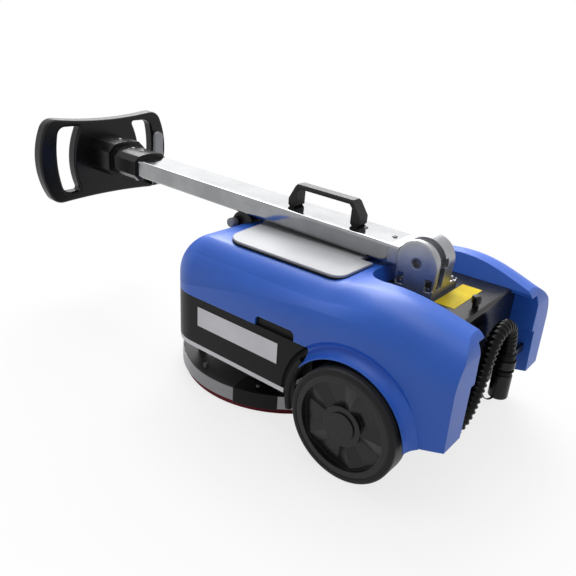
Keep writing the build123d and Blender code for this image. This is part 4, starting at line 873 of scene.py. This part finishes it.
addStraps()
print("straps hung")


# floor, world and lamps
stageSet = {
    "floorSize": 30.0, "floorColour": (0.86, 0.86, 0.86), "floorRoughness": 0.85,
    "floorNoise": (6.0, 3.0, 0.5), "floorGloss": 0.1,
    "floorGlow": 0.78, "glowBand": (0.35, 0.9),  # near the object the floor is less of a glow
    "white": (1, 1, 1), "worldStrength": 0.27,
    "lamps": {
        "highSoftbox": {
            "place": (1.31, 1.18, 2.07), "target": (0, 0, 0.3),
            "size": (2.0, 1.8), "power": 84,
        },
        "lowSoftbox": {
            "place": (1.71, 1.54, 1.20), "target": (0, 0, 0.3),
            "size": (2.8, 0.8), "power": 7,
        },
        "overhead": {
            "place": (-0.12, -0.1, 2.4), "target": (-0.12, -0.1, 0),
            "size": (1.0, 1.8), "power": 15,
        },
    },
}


def whiteSeen(graph):  # 1 for rays that show the background: straight, mirrored or through glass
    names = ("Is Camera Ray", "Is Glossy Ray", "Is Transmission Ray")
    straight, mirrored, through = (graph.node("ShaderNodeLightPath", output=name) for name in names)
    settings = {"operation": "ADD", "use_clamp": True}
    return graph.node("ShaderNodeMath", settings, {0: straight + mirrored, 1: through})


def addFloor():
    half = stageSet["floorSize"] / 2
    corners = [(-half, -half, 0), (half, -half, 0), (half, half, 0), (-half, half, 0)]
    mesh = bpy.data.meshes.new("floor")
    mesh.from_pydata(corners, [], [(0, 1, 2, 3)])
    floor = addObject("floor", mesh)
    finish = Finish("floorPale")
    spot = finish.place()
    grain = finish.noise(spot, *stageSet["floorNoise"])
    roughness = stageSet["floorRoughness"] + (grain - 0.5) * stageSet["floorGloss"]
    finish.set(colour=stageSet["floorColour"], roughness=roughness, specular=0.0)
    glow = finish.node("ShaderNodeEmission", {}, {"Color": stageSet["white"], "Strength": 1.0})
    share = finish.band(
        finish.reach(spot), *stageSet["glowBand"], stageSet["floorGlow"], 1.0, "SMOOTHSTEP"
    )
    lit = Sock(finish, finish.shader.outputs[0])
    mixed = finish.node("ShaderNodeMixShader", {}, {0: share * whiteSeen(finish), 1: lit, 2: glow})
    finish.feed(finish.tree.nodes["Material Output"].inputs["Surface"], mixed)
    mesh.materials.append(finish.material)


class World(NodeTree):
    def __init__(self, world):
        world.use_nodes = True
        self.tree = world.node_tree

    def sky(self, strength):
        sockets = {"Color": stageSet["white"], "Strength": strength}
        return self.node("ShaderNodeBackground", {}, sockets)


def addWorld():
    world = bpy.data.worlds.new("studio")
    graph = World(world)
    skies = {1: graph.sky(stageSet["worldStrength"]), 2: graph.sky(1.0)}
    mixed = graph.node("ShaderNodeMixShader", {}, {0: whiteSeen(graph), **skies})
    graph.feed(graph.tree.nodes["World Output"].inputs["Surface"], mixed)
    bpy.context.scene.world = world


def addLamps():
    for name, lamp in stageSet["lamps"].items():
        data = bpy.data.lights.new(name, "AREA")
        data.shape = "RECTANGLE"
        data.size, data.size_y = lamp["size"]
        data.energy = lamp["power"]
        made = addObject(name, data)
        made.location = lamp["place"]
        aim = Vector(lamp["target"]) - made.location
        made.rotation_euler = aim.to_track_quat("-Z", "Y").to_euler()
        made.visible_camera = False


addFloor()
addWorld()
addLamps()
print("stage set")
